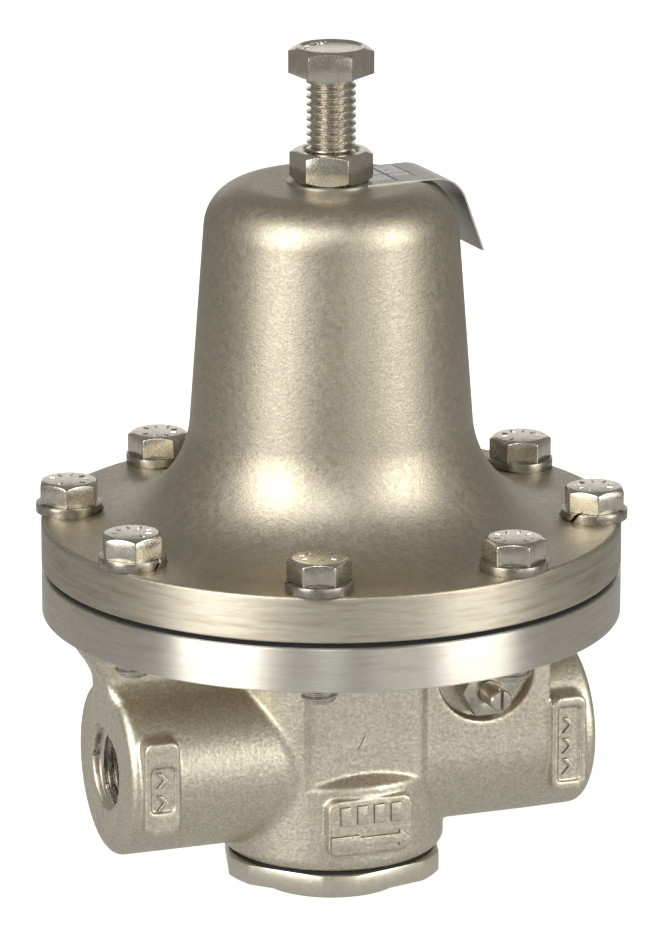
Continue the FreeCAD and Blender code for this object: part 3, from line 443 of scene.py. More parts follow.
def outlet_field(x, y, z):
    """The outlet hub: as far as WEB_END a web, round below and upright above, then a tapered boss."""
    around_port = np.hypot(y, z - PORT_HEIGHT)
    web = np.hypot(y, np.minimum(z - PORT_HEIGHT, 0)) - HUB_RADIUS
    web = meet_round(web, x - WEB_END, 0.6)
    drafted = HUB_RADIUS - np.maximum(x - WEB_END, 0) * HUB_DRAFT
    collar = meet_round(around_port - drafted, x - OUTLET_FACE, HUB_ROUNDING)
    return np.maximum(np.minimum(web, collar), -x)


def rib_field(x, y, z):
    """The rib on top of the inlet hub, whose outer edge leans out above a knee."""
    leaning = -0.823 * (x + 62.9) - 0.568 * (z - 60.0)
    rib = meet_round(join_round(-RIB_FOOT - x, leaning, 5.0), np.abs(y) - RIB_HALF_WIDTH, 1.6)
    return np.maximum(rib, np.maximum(x, 45 - z))


def add_badges(solid, x, y, z):
    """Join the front badge and the two side badges, which have a sunk panel each."""
    badge = rounded_panel(x, z, -11.55, 15.45, 11.55, 30.25, 2.5)
    badge = meet_round(np.maximum(badge, y + 20), -(y + BADGE_FACE), 0.5)
    solid = join_round(solid, badge, 0.6)
    for outline, panel in (
        ((-59.4, 24.5, -49.7, 49.7), (-57.6, 30.8, -51.5, 42.9)),
        ((52.5, 24.1, 62.3, 49.9), (54.1, 26.8, 60.3, 47.0)),
    ):
        badge = rounded_panel(x, z, *outline, 2.6)
        badge = meet_round(np.maximum(badge, y + 12), -(y + SIDE_BADGE_FACE), 0.8)
        solid = join_round(solid, badge, 0.8)
        recess = np.maximum(rounded_panel(x, z, *panel, 0.9), y + SIDE_RECESS_FACE)
        solid = cut_round(solid, recess, 0.35)
    return solid


def cut_sensing_pocket(solid, x, y, z):
    """Cut the sensing screw's round pocket and its hole."""
    reach = np.hypot(x - SENSING_POCKET[0], z - SENSING_POCKET[1])
    pocket = np.maximum(reach - SENSING_POCKET_RADIUS, y + SENSING_POCKET_FACE)
    solid = cut_round(solid, pocket, 0.3)
    reach = np.hypot(x - SENSING_AXIS[0], z - SENSING_AXIS[1])
    hole = np.maximum(reach - SENSING_HOLE_RADIUS, y + 8.0)
    return np.maximum(solid, -hole)


def cut_hollows(solid, x, y, z):
    """Cut the chambers, the ports and their windows, with a chamfer at each port's mouth."""
    around_z = np.hypot(x, y)
    around_port = np.hypot(y, z - PORT_HEIGHT)
    across = np.abs(y) - WINDOW_HALF_WIDTH
    hollows = [
        np.maximum(around_z - CAP_BORE_RADIUS, z - 22.0),
        np.maximum(around_z - LOWER_CHAMBER_RADIUS, np.abs(z - 27.5) - 6.0),
        np.maximum(around_z - SEAT_BORE_RADIUS, np.abs(z - 36.5) - 4.0),
        np.maximum(around_z - UPPER_CHAMBER_RADIUS, np.abs(z - 51.75) - 12.25),
        np.maximum(around_z - STEM_BORE_RADIUS, 60 - z),
        np.maximum(around_port - PORT_BORE, x + INLET_FACE - PORT_DEPTH),
        np.maximum(around_port - PORT_BORE, OUTLET_FACE - PORT_DEPTH - x),
        np.maximum(np.maximum(np.abs(x + 30.1) - 12.1, across), np.abs(z - 29.85) - 3.65),
        np.maximum(np.maximum(np.abs(x - 31.6) - 14.6, across), np.abs(z - 43.05) - 3.55),
    ]
    for hollow in hollows:
        solid = np.maximum(solid, -hollow)
    for face, sign in ((-INLET_FACE, -1), (OUTLET_FACE, 1)):
        mouth = around_port - PORT_MOUTH - sign * (x - face)
        mouth = np.maximum(mouth, around_port - PORT_MOUTH)
        solid = np.maximum(solid, -mouth)
    return solid


def casting_field(x, y, z):
    """The valve body's cast part below the flange, as a signed distance."""
    solid = join_round(column_field(x, y, z), inlet_field(x, y, z), 1.3)
    solid = join_round(solid, rib_field(x, y, z), 4.5)
    solid = join_round(solid, outlet_field(x, y, z), 0.6)
    solid = join_round(solid, FLANGE_UNDER - z, 4.0)
    rim = np.hypot(x, y) - FLANGE_RADIUS + 1.5
    solid = np.maximum(solid, np.maximum(z - FLANGE_UNDER - 2.5, rim))
    solid = add_badges(solid, x, y, z)
    solid = cut_sensing_pocket(solid, x, y, z)
    return cut_hollows(solid, x, y, z)


def make_casting():
    """The casting meshed on a grid, which ends inside the flange."""
    step = 0.6
    low = np.array([-75.0, -40.0, BODY_BOTTOM - 1.0])
    high = np.array([67.0, 40.0, FLANGE_UNDER + 4.0])
    counts = np.ceil((high - low) / step).astype(int) + 1
    x = (low[0] + step * np.arange(counts[0]))[:, None, None]
    y = (low[1] + step * np.arange(counts[1]))[None, :, None]
    z = (low[2] + step * np.arange(counts[2]))[None, None, :]
    field = casting_field(x, y, z)
    field = np.maximum(field, np.maximum(np.abs(y) - 38.0, np.abs(x) - 73.5))
    vertices, quads = surface_net(field, low, step)
    piece = new_object("valve_body_casting", vertices, quads, "housing")
    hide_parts("valve_body")
    return piece


def make_body_flange():
    """The turned flange on top of the casting, with the diaphragm chamber in it."""
    low = FLANGE_UNDER + 0.03
    edge = 0.5
    profile = rounded_profile(
        [
            (STEM_BORE_RADIUS, low, 0),
            (FLANGE_RADIUS, low, edge),
            (FLANGE_RADIUS, FLANGE_TOP, edge),
            (CHAMBER_RADIUS, FLANGE_TOP, 0.3),
            (CHAMBER_RADIUS, CHAMBER_FLOOR, 1.0),
            (STEM_BORE_RADIUS, CHAMBER_FLOOR, 0.3),
        ]
    )
    return lathe("valve_body_flange", profile, "housing", 360)


def bolt_places():
    """The centre of each flange bolt in millimetres."""
    places = []
    for angle in BOLT_ANGLES:
        turn = math.radians(angle)
        places.append((BOLT_CIRCLE * math.cos(turn), BOLT_CIRCLE * math.sin(turn)))
    return places


def make_bonnet():
    """The bell-shaped bonnet, turned in one profile, with its bolt holes and spot faces."""
    top = BONNET_HIGH[2]
    low = BONNET_LOW[2]
    profile = rounded_profile(
        [
            (CROWN_HOLE_RADIUS, BONNET_CEILING, 0),
            (27.0, BONNET_CEILING, 9.0),
            (32.2, BONNET_ROOF, 22.0),
            (CHAMBER_RADIUS, BONNET_ROOF, 0.5),
            (CHAMBER_RADIUS, low, 0.4),
            (FLANGE_RADIUS, low, 0.6),
            (FLANGE_RADIUS, BONNET_FLANGE_TOP, 1.1),
            (38.45, BONNET_FLANGE_TOP, 28.0),
            (31.9, top, 12.0),
            (CROWN_HOLE_RADIUS, top, 0.3),
        ],
        steps=14,
    )
    piece = lathe("bonnet_shell", profile, "housing", 360)
    cutters = []
    for x, y in bolt_places():
        face = (x, y, BONNET_FLANGE_TOP)
        cutters.append(cylinder(SPOT_FACE_RADIUS, face, (x, y, BONNET_FLANGE_TOP + 10), 64))
        cutters.append(cylinder(BOLT_HOLE_RADIUS, (x, y, low - 2), (x, y, BONNET_FLANGE_TOP + 2)))
    cut(piece, cutters)
    piece.data.shade_smooth()
    piece.data.set_sharp_from_angle(angle=math.radians(35))
    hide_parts("bonnet")
    return piece


def make_port_thread(name, face, sign):
    """The female pipe thread in a port, as a helical liner between the bore and the casting."""
    turns = 9
    steps = 72
    start = face - sign * 0.4
    root = PORT_ROOT - 0.05
    back = PORT_ROOT + 0.35
    profile = [(root, -0.5), (PORT_CREST, -0.08), (PORT_CREST, 0.08), (root, 0.5), (back, 0.5), (back, -0.5)]
    side = len(profile)
    vertices = []
    for step in range(turns * steps + 1):
        angle = 2 * math.pi * step / steps
        fade = min(1.0, step / steps, (turns * steps - step) / steps)
        for radius, offset in profile:
            reach = root + (radius - root) * fade if radius < root else radius
            along = start - sign * (0.6 + (step / steps + offset) * THREAD_PITCH)
            vertices.append((along, reach * math.cos(angle), PORT_HEIGHT + reach * math.sin(angle)))
    faces = []
    for step in range(turns * steps):
        for k in range(side):
            n = (k + 1) % side
            a = step * side
            faces.append((a + k, a + n, a + side + n, a + side + k))
    faces.append(tuple(range(side)))
    last = turns * steps * side
    faces.append(tuple(range(last + side - 1, last - 1, -1)))
    piece = new_object(name, vertices, faces, "housing")
    make_outward(piece)
    piece.data.set_sharp_from_angle(angle=math.radians(50))
    return piece


def raised_shape(name, corners, face, height, bevel=0.22):
    """A flat raised shape on the front, corners in (x, z), standing height proud of y = -face."""
    count = len(corners)
    vertices = [(x, -face + 0.6, z) for x, z in corners]
    vertices += [(x, -face - height, z) for x, z in corners]
    faces = [tuple(range(count)), tuple(range(2 * count - 1, count - 1, -1))]
    for k in range(count):
        n = (k + 1) % count
        faces.append((k, n, count + n, count + k))
    piece = new_object(name, vertices, faces, "housing", smooth=False)
    make_outward(piece)
    soften(piece, bevel, angle=20, segments=3)
    return piece


def arrow_corners(height):
    """A block arrow pointing +X: a tail block, a thinner shaft and a head."""
    right = 11.0
    neck = right - 3.15
    tail = 8.05 - right
    upper = [(right, 0.0), (neck, 2.3), (neck, 1.2), (tail, 1.2), (tail, 1.9), (-right, 1.9)]
    lower = [(x, -z) for x, z in upper[:0:-1]]
    return [(x, height + z) for x, z in upper + lower]


def chevron_corners(centre_x, centre_z, width, rise, thickness):
    """A chevron that points +X."""
    back = centre_x - width / 2
    tip = centre_x + width / 2
    return [
        (back, centre_z - rise),
        (back + thickness, centre_z - rise),
        (tip, centre_z),
        (back + thickness, centre_z + rise),
        (back, centre_z + rise),
        (tip - thickness, centre_z),
    ]


def make_markings():
    """Raised marks on the castings: a flow arrow, plain bars, chevrons and a small triangle."""
    pieces = [raised_shape("flow_arrow", arrow_corners(18.9), BADGE_FACE, 0.7)]
    for index in range(4):
        left = -6.9 + 4.6 * index - 1.35
        right = -6.9 + 4.6 * index + 1.35
        corners = [(left, 23.5), (right, 23.5), (right, 28.6), (left, 28.6)]
        pieces.append(raised_shape(f"badge_bar_{index + 1}", corners, BADGE_FACE, 0.6))
    for port, x, heights in (
        ("inlet", INLET_CHEVRON_X, (33.4, 39.4)),
        ("outlet", OUTLET_CHEVRON_X, (30.8, 36.4, 42.0)),
    ):
        for index, height in enumerate(heights, start=1):
            corners = chevron_corners(x, height, 3.4, 2.1, 1.5)
            pieces.append(raised_shape(f"{port}_chevron_{index}", corners, SIDE_RECESS_FACE, 0.7))
    triangle = [(-1.9, 42.0), (1.9, 42.0), (0.0, 45.4)]
    pieces.append(raised_shape("foundry_triangle", triangle, FRONT_FLAT, 0.35, bevel=0.12))
    return pieces


def make_head_marks(name, body, places, inner, outer, base, height, half_width):
    """Short raised ticks on hexagon heads, one at each (x, y, angle) place."""
    vertices = []
    faces = []
    for x, y, angle in places:
        along = np.array([math.cos(math.radians(angle)), math.sin(math.radians(angle)), 0.0])
        across = np.array([-along[1], along[0], 0.0])
        first = len(vertices)
        for level, slim in ((base, 1.0), (base + height, 0.6)):
            for reach, side in ((inner, -1), (outer, -1), (outer, 1), (inner, 1)):
                corner = np.array([x, y, level]) + along * reach + across * (side * half_width * slim)
                vertices.append(tuple(corner))
        faces.append(tuple(first + k for k in (3, 2, 1, 0)))
        faces.append(tuple(first + k for k in (4, 5, 6, 7)))
        for k in range(4):
            n = (k + 1) % 4
            faces.append((first + k, first + n, first + 4 + n, first + 4 + k))
    return new_object(name, vertices, faces, body, smooth=False)


def make_bolt_marks():
    """A ring of ticks on each flange bolt's head."""
    places = []
    for index, (x, y) in enumerate(bolt_places()):
        for k in range(9):
            if k % 5 != 4:
                places.append((x, y, 40 * k + 23 * index))
    base = BOLT_TOP - 0.1
    return make_head_marks("flange_bolt_marks", "housing", places, 3.7, 5.1, base, 0.32, 0.35)


def make_screw_marks():
    """Ticks near the rim of the adjusting screw's dished head."""
    places = [(0.0, 0.0, angle) for angle in (84, 96, 108, 120, 150, 164, 178)]
    dish = SCREW_TOP - 0.5
    base = dish - 0.2
    body = "adjusting_screw_body"
    return make_head_marks("adjusting_screw_marks", body, places, 5.5, 6.9, base, 0.5, 0.4)


def make_spring(name, node, mean, wire, coils):
    """A compression spring with closed, ground ends, which shortens with a joint."""
    low, high = (corner[2] for corner in low_high(node))
    steps = 48
    sides = 16
    total = int(coils * steps)
    closed = 0.9
    free = high - low - 2 * wire * 1.2
    vertices = []
    for step in range(total + 1):
        turn = step / steps
        share = np.clip((turn - closed) / (coils - 2 * closed), 0, 1)
        rise = low + wire * 1.2 + free * share
        rise += (min(turn, closed) - closed) * wire * 0.35 + max(turn - coils + closed, 0) * wire * 0.35
        angle = 2 * math.pi * turn
        for k in range(sides):
            around = 2 * math.pi * k / sides
            radius = mean + wire * math.cos(around)
            height = np.clip(rise + wire * math.sin(around), low, high)
            vertices.append((radius * math.cos(angle), radius * math.sin(angle), height))
    faces = []
    for step in range(total):
        for k in range(sides):
            n = (k + 1) % sides
            a = step * sides
            faces.append((a + k, a + n, a + sides + n, a + sides + k))
    faces.append(tuple(range(sides - 1, -1, -1)))
    faces.append(tuple(range(total * sides, total * sides + sides)))
    body = NODES[node]["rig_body"]
    piece = new_object(name, vertices, faces, body)
    make_outward(piece)
    piece.data.set_sharp_from_angle(angle=math.radians(50))
    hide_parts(node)
    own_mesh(piece)
    return piece


def make_sector(name, radii, angles, low, high):
    """A closed sheet between two heights, gridded by radius and angle, on no body yet."""
    vertices = []
    for height in (low, high):
        for radius in radii:
            vertices += [(radius * math.cos(a), radius * math.sin(a), height) for a in angles]
    columns = len(angles)
    rows = len(radii)
    sheet = columns * rows
    faces = []
    for i in range(rows - 1):
        for k in range(columns - 1):
            a = i * columns + k
            faces.append((a, a + 1, a + columns + 1, a + columns))
            faces.append((a + sheet + columns, a + sheet + columns + 1, a + sheet + 1, a + sheet))
    rim = list(range(columns)) + [columns * (i + 1) - 1 for i in range(1, rows)]
    rim += [sheet - 1 - k for k in range(1, columns)] + [columns * i for i in range(rows - 2, 0, -1)]
    for a, b in zip(rim, rim[1:] + rim[:1]):
        faces.append((b, a, a + sheet, b + sheet))
    mesh = bpy.data.meshes.new(name)
    mesh.from_pydata([tuple(np.array(v) * MM) for v in vertices], [], faces)
    piece = bpy.data.objects.new(name, mesh)
    bpy.context.scene.collection.objects.link(piece)
    make_outward(piece)
    return piece


def make_ply(node):
    """A diaphragm ply in sectors, each bending between the plate above it and its clamped rim."""
    low, high = low_high(node)
    sectors = 16
    wedge = 2 * math.pi / sectors
    bends = [PLATE_RADIUS + 1.5 * k for k in range(1, 8)]
    radii = [3.3, PLATE_RADIUS] + bends + [57.0, 66.0, high[0]]
    pieces = []
    for sector in range(sectors):
        middle = wedge * sector
        angles = [middle + wedge * (k / 6 - 0.5) for k in range(7)]
        piece = make_sector(f"{node}_sector_{sector + 1}", radii, angles, low[2], high[2])
        out = np.array([math.cos(middle), math.sin(middle), 0.0]) * MM
        start = tuple(out * PLATE_RADIUS)
        end = tuple(out * bends[-1])
        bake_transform(piece, "plug_train", "housing", start, end)
        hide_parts(node)
        pieces.append(piece)
    return pieces


# ---- materials ----


class Shader:
    """A Principled material whose colour, roughness and bump come from noise in object space."""

    def __init__(self, name, metallic=1.0, roughness=0.4):
        self.material = bpy.data.materials.new(name)
        self.material.use_nodes = True
        self.tree = self.material.node_tree
        self.tree.nodes.clear()
        self.output = self.tree.nodes.new("ShaderNodeOutputMaterial")
        self.main = self.tree.nodes.new("ShaderNodeBsdfPrincipled")
        self.tree.links.new(self.main.outputs["BSDF"], self.output.inputs["Surface"])
        self.main.inputs["Metallic"].default_value = metallic
        self.main.inputs["Roughness"].default_value = roughness
        self.place = self.tree.nodes.new("ShaderNodeTexCoord").outputs["Object"]
        self.normal = None

    def node(self, kind, **settings):
        made = self.tree.nodes.new(kind)
        for name, setting in settings.items():
            setattr(made, name, setting)
        return made

    def link(self, start, end):
        self.tree.links.new(start, end)

    def math(self, operation, first, second=0.0):
        made = self.node("ShaderNodeMath", operation=operation)
        for socket, item in zip(made.inputs, (first, second)):
            if isinstance(item, (int, float)):
                socket.default_value = item
            else:
                self.link(item, socket)
        return made.outputs[0]

    def turned(self, around=12.0):
        """Coordinates in which a turned surface's marks run round the Z axis, around millimetres long."""
        split = self.node("ShaderNodeSeparateXYZ")
        self.link(self.place, split.inputs[0])
        x, y, z = split.outputs
        angle = self.math("ARCTAN2", y, x)
        squared = self.math("ADD", self.math("POWER", x, 2.0), self.math("POWER", y, 2.0))
        join = self.node("ShaderNodeCombineXYZ")
        self.link(self.math("MULTIPLY", angle, around * MM), join.inputs[0])
        self.link(self.math("SQRT", squared), join.inputs[1])
        self.link(z, join.inputs[2])
        return join.outputs[0]

    def noise(self, size, detail=2.0, rough=0.5, place=None):
        """Noise whose features are about size millimetres across."""
        made = self.node("ShaderNodeTexNoise")
        made.inputs["Scale"].default_value = 1 / (size * MM)
        made.inputs["Detail"].default_value = detail
        made.inputs["Roughness"].default_value = rough
        self.link(place or self.place, made.inputs["Vector"])
        return made.outputs["Fac"]

    def cells(self, size):
        """Smooth cells about size millimetres across."""
        made = self.node("ShaderNodeTexVoronoi", feature="SMOOTH_F1")
        made.inputs["Scale"].default_value = 1 / (size * MM)
        made.inputs["Smoothness"].default_value = 0.6
        self.link(self.place, made.inputs["Vector"])
        return made.outputs["Distance"]

    def span(self, source, low, high, from_low=0.3, from_high=0.7):
        """Map a source's range onto low to high, clamped at both ends."""
        made = self.node("ShaderNodeMapRange")
        made.inputs["From Min"].default_value = from_low
        made.inputs["From Max"].default_value = from_high
        made.inputs["To Min"].default_value = low
        made.inputs["To Max"].default_value = high
        self.link(source, made.inputs["Value"])
        return made.outputs["Result"]

    def mix(self, share, first, second):
        """A colour between two, each a colour tuple or a socket."""
        made = self.node("ShaderNodeMix", data_type="RGBA")
        for socket, item in ((made.inputs[0], share), (made.inputs[6], first), (made.inputs[7], second)):
            if isinstance(item, (int, float)):
                socket.default_value = item
            elif isinstance(item, tuple):
                socket.default_value = (*item, 1.0)
            else:
                self.link(item, socket)
        return made.outputs[2]

    def colour(self, source):
        self.link(source, self.main.inputs["Base Color"])

    def rough(self, source):
        self.link(source, self.main.inputs["Roughness"])

    def bump(self, height, depth, strength=1.0):
        """Add relief of about depth millimetres."""
        made = self.node("ShaderNodeBump")
        made.inputs["Distance"].default_value = depth * MM
        made.inputs["Strength"].default_value = strength
        self.link(height, made.inputs["Height"])
        if self.normal is not None:
            self.link(self.normal, made.inputs["Normal"])
        self.normal = made.outputs["Normal"]
        self.link(self.normal, self.main.inputs["Normal"])


# Body and bonnet are the same cast steel; the body's colour is painted lighter than the bonnet's, painted
# light for how the lower body is lit from the front and below.
BODY_STEEL_PAINTED_LIGHTER = (0.60, 0.55, 0.44)
BONNET_STEEL = (0.44, 0.395, 0.305)
STAIN = (0.30, 0.235, 0.15)
TURNED = (0.66, 0.63, 0.57)


def scaled(colour, amount):
    """A lighter or darker colour, no channel above 1."""
    return tuple(min(1.0, part * amount) for part in colour)


def cast_steel(name, colour, grain, depth, roughness, sparkle):
    """Bead-blasted cast stainless steel: fine grain over soft waviness, with faint brown staining."""
    shader = Shader(name)
    blotch = shader.noise(14.0, 3.0, 0.6)
    speck = shader.noise(grain, 2.0, 0.7)
    stain = shader.noise(26.0, 4.0, 0.6)
    tone = shader.mix(shader.span(blotch, 0.0, 1.0), scaled(colour, 0.95), scaled(colour, 1.04))
    tone = shader.mix(shader.span(speck, 0.0, sparkle, 0.45, 0.75), tone, scaled(colour, 1.45))
    tone = shader.mix(shader.span(speck, sparkle * 0.8, 0.0, 0.25, 0.5), tone, scaled(colour, 0.62))
    tone = shader.mix(shader.span(stain, 0.0, 0.3, 0.56, 0.78), tone, STAIN)
    shader.colour(tone)
    shader.rough(shader.span(shader.noise(grain * 3.0, 2.0), roughness - 0.04, roughness + 0.06))
    shader.bump(shader.noise(9.0, 2.0), 0.10, 0.5)
    shader.bump(shader.cells(grain * 1.5), depth, 0.6)
    shader.bump(shader.noise(grain * 0.8, 3.0, 0.65), depth, 0.8)
    return shader.material


def turned_steel(name, colour, roughness, line=0.35, depth=0.004, anisotropy=0.8, stain=0.25):
    """Machined steel with fine tool marks round the Z axis and thin brown streaks along them."""
    shader = Shader(name, roughness=roughness)
    shader.main.inputs["Anisotropic"].default_value = anisotropy
    shader.main.inputs["Anisotropic Rotation"].default_value = 0.25
    tangent = shader.node("ShaderNodeTangent", direction_type="RADIAL", axis="Z")
    shader.link(tangent.outputs[0], shader.main.inputs["Tangent"])
    rings = shader.turned()
    marks = shader.noise(line, 3.0, 0.6, rings)
    streaks = shader.noise(1.6, 3.0, 0.6, shader.turned(7.0))
    tone = shader.mix(shader.span(marks, 0.0, 0.5), colour, scaled(colour, 0.86))
    shader.colour(shader.mix(shader.span(streaks, 0.0, stain, 0.45, 0.75), tone, scaled(STAIN, 1.1)))
    shader.rough(shader.span(marks, roughness - 0.02, roughness + 0.04))
    shader.bump(marks, depth, 0.5)
    return shader.material


def bolt_steel(name, colour, roughness, grain=0.5, depth=0.01, worn=0.62):
    """Bright cold-headed steel with small marks and a faint stain."""
    shader = Shader(name, roughness=roughness)
    patches = shader.noise(2.6, 4.0, 0.6)
    fine = shader.noise(grain, 3.0, 0.6)
    darker = scaled(colour, worn)
    shader.colour(shader.mix(shader.span(patches, 0.0, 1.0, 0.4, 0.72), colour, darker))
    shader.rough(shader.span(fine, roughness - 0.06, roughness + 0.1))
    shader.bump(shader.noise(3.0, 2.0), 0.03, 0.5)
    shader.bump(fine, depth, 0.6)
    return shader.material


def sheet_tag(name):
    """Olive-grey satin sheet with two lighter etched panels and dark rules, which hold no lettering."""
    shader = Shader(name, roughness=0.34)
    split = shader.node("ShaderNodeSeparateXYZ")
    shader.link(shader.place, split.inputs[0])
    x = split.outputs["X"]
    y = split.outputs["Y"]
    turn = math.radians(TAG_TURN)
    cosine = math.cos(turn)
    sine = math.sin(turn)
    along = shader.math("ADD", shader.math("MULTIPLY", x, cosine), shader.math("MULTIPLY", y, sine))
    across = shader.math("SUBTRACT", shader.math("MULTIPLY", y, cosine), shader.math("MULTIPLY", x, sine))

    def inside(low, high, near, far):
        """1 inside a rectangle given in millimetres along and across the strip."""
        share = 1.0
        for place, edge, operation in (
            (along, low, "GREATER_THAN"),
            (along, high, "LESS_THAN"),
            (across, near, "GREATER_THAN"),
            (across, far, "LESS_THAN"),
        ):
            share = shader.math("MULTIPLY", shader.math(operation, place, edge * MM), share)
        return share

    tone = shader.mix(shader.noise(5.0, 2.0), (0.47, 0.46, 0.41), (0.40, 0.39, 0.345))
    worn = shader.span(shader.noise(0.9, 3.0, 0.7), 0.0, 0.8, 0.55, 0.62)
    panel = shader.mix(worn, (0.66, 0.655, 0.64), (0.24, 0.235, 0.21))
    for edges in ((8.5, 14.6, -6.0, 8.6), (15.4, 21.0, -3.0, 8.6)):
        tone = shader.mix(inside(*edges), tone, panel)
    rule = (0.07, 0.065, 0.055)
    for edges in ((14.6, 15.4, -8.0, 9.2), (8.5, 22.5, -0.4, 0.1), (21.0, 21.5, -5.0, 8.6)):
        tone = shader.mix(inside(*edges), tone, rule)
    shader.colour(tone)
    shader.rough(shader.span(shader.noise(0.4, 2.0), 0.3, 0.42))
    shader.bump(shader.noise(0.35, 2.0), 0.006, 0.5)
    return shader.material


def dull_sheet(name, colour):
    """Soft sheet or plastic with mottled colour and hardly any shine."""
    shader = Shader(name, metallic=0.0, roughness=0.7)
    shader.main.inputs["Specular IOR Level"].default_value = 0.15
    lighter = tuple(min(1.0, c * 1.8 + 0.01) for c in colour)
    shader.colour(shader.mix(shader.noise(1.2, 3.0), colour, lighter))
    shader.rough(shader.span(shader.noise(0.5, 2.0), 0.6, 0.85))
    shader.bump(shader.noise(0.6, 2.0), 0.03, 0.5)
    return shader.material


def paint(piece, material, side=None, on_side=None):
    """Give the piece a material, and a second one to the faces that on_side accepts."""
    piece.data.materials.clear()
    piece.data.materials.append(material)
    if side is not None:
        piece.data.materials.append(side)
        for face in piece.data.polygons:
            if on_side(face):
                face.material_index = 1


def on_bonnet_rim(face):
    """Whether a face of the bonnet lies on the flange's turned side, below its rounded edge."""
    side = face.center.xy.length > (FLANGE_RADIUS - 0.05) * MM
    return side and face.center.z < (BONNET_FLANGE_TOP - 0.7) * MM


def on_step(face):
    """Whether a face of a raised mark is one of the steps round it, which get painted shade."""
    return abs(face.normal.y) < 0.5


# ---- build ----

casting = make_casting()
body_flange = make_body_flange()
bonnet = make_bonnet()
threads = [
    make_port_thread("inlet_port_thread", -INLET_FACE, -1),
    make_port_thread("outlet_port_thread", OUTLET_FACE, 1),
]
markings = make_markings()
bolt_marks = make_bolt_marks()
screw_marks = make_screw_marks()
cap = from_cad("bottom_cap_piece", "bottom_cap", "housing", 0.3, lambda p: p[2] < 10)
bolts = from_cad("flange_bolt_set", "flange_bolts", "housing", 0.25, lambda p: p[2] > 101.0)
washers = from_cad("lock_washer_set", "lock_washers", "housing", 0.28)
screw = from_cad(
    "adjusting_screw_piece", "adjusting_screw", "adjusting_screw_body", 0.3, lambda p: p[2] > 215.0
)
nut = from_cad("jam_nut_piece", "jam_nut", "jam_nut_body", 0.3)
sensing_nut = from_cad("sensing_nut_piece", "sensing_lock_nut", "housing", 0.2)
sensing_screw = from_cad("sensing_screw_piece", "sensing_screw", "sensing_screw_body", 0.12)
range_spring = make_spring("range_spring_coil", "range_spring", 20.75, 3.2, 7.0)
return_spring = make_spring("return_spring_coil", "return_spring", 8.2, 0.8, 6.5)
plies = make_ply("diaphragm_lower_ply") + make_ply("diaphragm_upper_ply")

cast_body_look = cast_steel("cast_body_look", BODY_STEEL_PAINTED_LIGHTER, 0.8, 0.085, 0.43, 0.6)
bonnet_look = cast_steel("cast_bonnet_look", BONNET_STEEL, 0.6, 0.04, 0.43, 0.42)
bonnet_rim_look = turned_steel("bonnet_rim_look", (0.62, 0.57, 0.46), 0.5, 0.5, 0.012, 0.8, 0.6)
rim_look = turned_steel("machined_rim_look", (0.77, 0.73, 0.635), 0.4, anisotropy=0.97)
machined_look = turned_steel("machined_look", TURNED, 0.3)
cap_look = cast_steel("cap_look", (0.66, 0.61, 0.50), 0.45, 0.015, 0.34, 0.3)
bolt_look = bolt_steel("bolt_look", (0.62, 0.58, 0.49), 0.22, worn=0.75)
washer_look = bolt_steel("washer_look", (0.40, 0.37, 0.31), 0.3)
screw_look = bolt_steel("screw_look", (0.66, 0.61, 0.52), 0.22, 0.4, 0.008, 0.8)
sensing_look = bolt_steel("sensing_look", (0.60, 0.55, 0.45), 0.32)
# Painted shade: a near-black look for the steps round the raised marks, drawing dark outlines where shade
# falls.
shaded_step_look = dull_sheet("shaded_step_look", (0.06, 0.05, 0.035))
thread_look = bolt_steel("port_thread_look", (0.72, 0.69, 0.63), 0.2, 0.8, 0.003, 0.9)
tag_look = sheet_tag("tag_look")
spring_look = bolt_steel("spring_look", (0.26, 0.25, 0.24), 0.4)
gasket_look = dull_sheet("gasket_look", (0.008, 0.008, 0.008))
rubber_look = dull_sheet("diaphragm_look", (0.004, 0.004, 0.004))
seat_look = dull_sheet("seat_look", (0.5, 0.5, 0.47))

LOOKS = {
    "cast_body": cast_body_look,
    "cast_bonnet": bonnet_look,
    "machined_steel": machined_look,
    "bolt_steel": bolt_look,
    "washer_steel": washer_look,
    "screw_steel": screw_look,
    "tag_steel": tag_look,
    "spring_steel": spring_look,
    "gasket_fibre": gasket_look,
    "diaphragm_rubber": rubber_look,
    "seat_plastic": seat_look,
}
for subpart in frame["record"]["subparts"]:
    paint(NODES[subpart["node"]], LOOKS[subpart["material_slot"]])

paint(casting, cast_body_look)
paint(body_flange, rim_look)
paint(bonnet, bonnet_look, bonnet_rim_look, on_bonnet_rim)
for piece in threads:
    paint(piece, thread_look)
# The steps of each raised mark get the near-black look: painted shade round its outline.
for piece in markings:
    paint(piece, cast_body_look, shaded_step_look, on_step)
paint(cap, cap_look)
for piece in (bolts, bolt_marks):
    paint(piece, bolt_look)
paint(washers, washer_look)
for piece in (screw, screw_marks, nut):
    paint(piece, screw_look)
for piece in (sensing_nut, sensing_screw):
    paint(piece, sensing_look)
for piece in plies:
    paint(piece, rubber_look)
for piece in (range_spring, return_spring):
    paint(piece, spring_look)


# ---- floor, light and camera ----


def make_disc(name, radius, height, white, glow, rings=24, segments=96):
    """A flat disc in metres that shines by itself."""
    vertices = []
    faces = []
    for ring in range(1, rings + 1):
        reach = radius * ring / rings
        for k in range(segments):
            angle = 2 * math.pi * k / segments
            vertices.append((reach * math.cos(angle), reach * math.sin(angle), height))
    for ring in range(rings - 1):
        for k in range(segments):
            n = (k + 1) % segments
            a = ring * segments
            faces.append((a + k, a + segments + k, a + segments + n, a + n))
    faces.append(tuple(range(segments)))
    mesh = bpy.data.meshes.new(name)
    mesh.from_pydata(vertices, [], faces)
    disc = bpy.data.objects.new(name, mesh)
    bpy.context.scene.collection.objects.link(disc)
    shader = Shader(f"{name}_look", metallic=0.0, roughness=0.8)
    shader.main.inputs["Base Color"].default_value = (white, white, white, 1.0)
    shader.main.inputs["Emission Color"].default_value = (1.0, 1.0, 0.995, 1.0)
    shader.main.inputs["Emission Strength"].default_value = glow
    disc.data.materials.append(shader.material)
    return disc


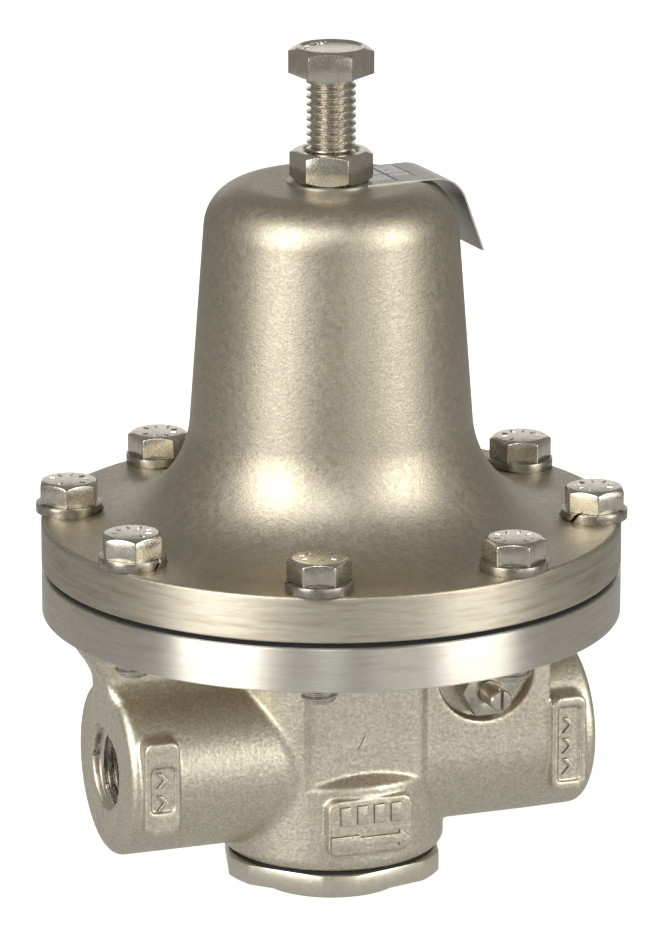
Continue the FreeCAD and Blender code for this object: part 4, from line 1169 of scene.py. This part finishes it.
def direction(azimuth, elevation):
    """A unit vector from the object, azimuth 0 towards -Y and turning to +X."""
    a = math.radians(azimuth)
    e = math.radians(elevation)
    return Vector((math.sin(a) * math.cos(e), -math.cos(a) * math.cos(e), math.sin(e)))


def add_light(name, azimuth, elevation, distance, width, height, radiance, colour=(1.0, 1.0, 1.0)):
    """A soft rectangular lamp that faces the object, its brightness given as radiance."""
    data = bpy.data.lights.new(name, "AREA")
    data.shape = "RECTANGLE"
    data.size = width
    data.size_y = height
    data.energy = math.pi * width * height * radiance
    data.color = colour
    lamp = bpy.data.objects.new(name, data)
    bpy.context.scene.collection.objects.link(lamp)
    back = direction(azimuth, elevation)
    lamp.location = Vector((0, 0, 0.1)) + back * distance
    lamp.rotation_mode = "QUATERNION"
    lamp.rotation_quaternion = (-back).to_track_quat("-Z", "Y")


def make_world():
    """An even, slightly warm grey surround."""
    world = bpy.data.worlds.new("studio")
    bpy.context.scene.world = world
    world.use_nodes = True
    background = world.node_tree.nodes["Background"]
    background.inputs["Color"].default_value = (0.27, 0.265, 0.25, 1.0)


def make_camera():
    """A long lens in front of the valve and a little to the inlet side, looking slightly down."""
    back = direction(-20.0, math.degrees(0.274))
    aim = Vector((0, 0, 0.11195))
    data = bpy.data.cameras.new("camera")
    data.sensor_width = 36.0
    data.lens = 251.5
    data.shift_x = 0.0024
    data.shift_y = -0.0069
    data.clip_end = 50.0
    camera = bpy.data.objects.new("camera", data)
    bpy.context.scene.collection.objects.link(camera)
    camera.location = aim + back * 1.6994
    camera.rotation_mode = "QUATERNION"
    camera.rotation_quaternion = (-back).to_track_quat("-Z", "Y")
    bpy.context.scene.camera = camera


backdrop = make_disc("backdrop", 6.0, 0.0, 0.9, 0.75)
backdrop.visible_glossy = False
table = make_disc("table", 0.6, -0.001, 0.15, 0.32)
table.visible_camera = False
make_world()
add_light("left_softbox", -64, 25, 1.3, 0.8, 1.35, 5.2)
add_light("right_softbox", 38, 21, 1.4, 0.77, 1.25, 4.4)
add_light("front_strip", -21.6, 42, 1.5, 0.26, 0.5, 7.0, (0.88, 0.94, 1.0))
add_light("front_fill", 4, 2, 1.8, 0.6, 0.55, 1.7)
add_light("back_softbox", 160, 12, 1.6, 1.3, 0.6, 0.75)
make_camera()
bpy.context.scene.view_settings.view_transform = "Standard"
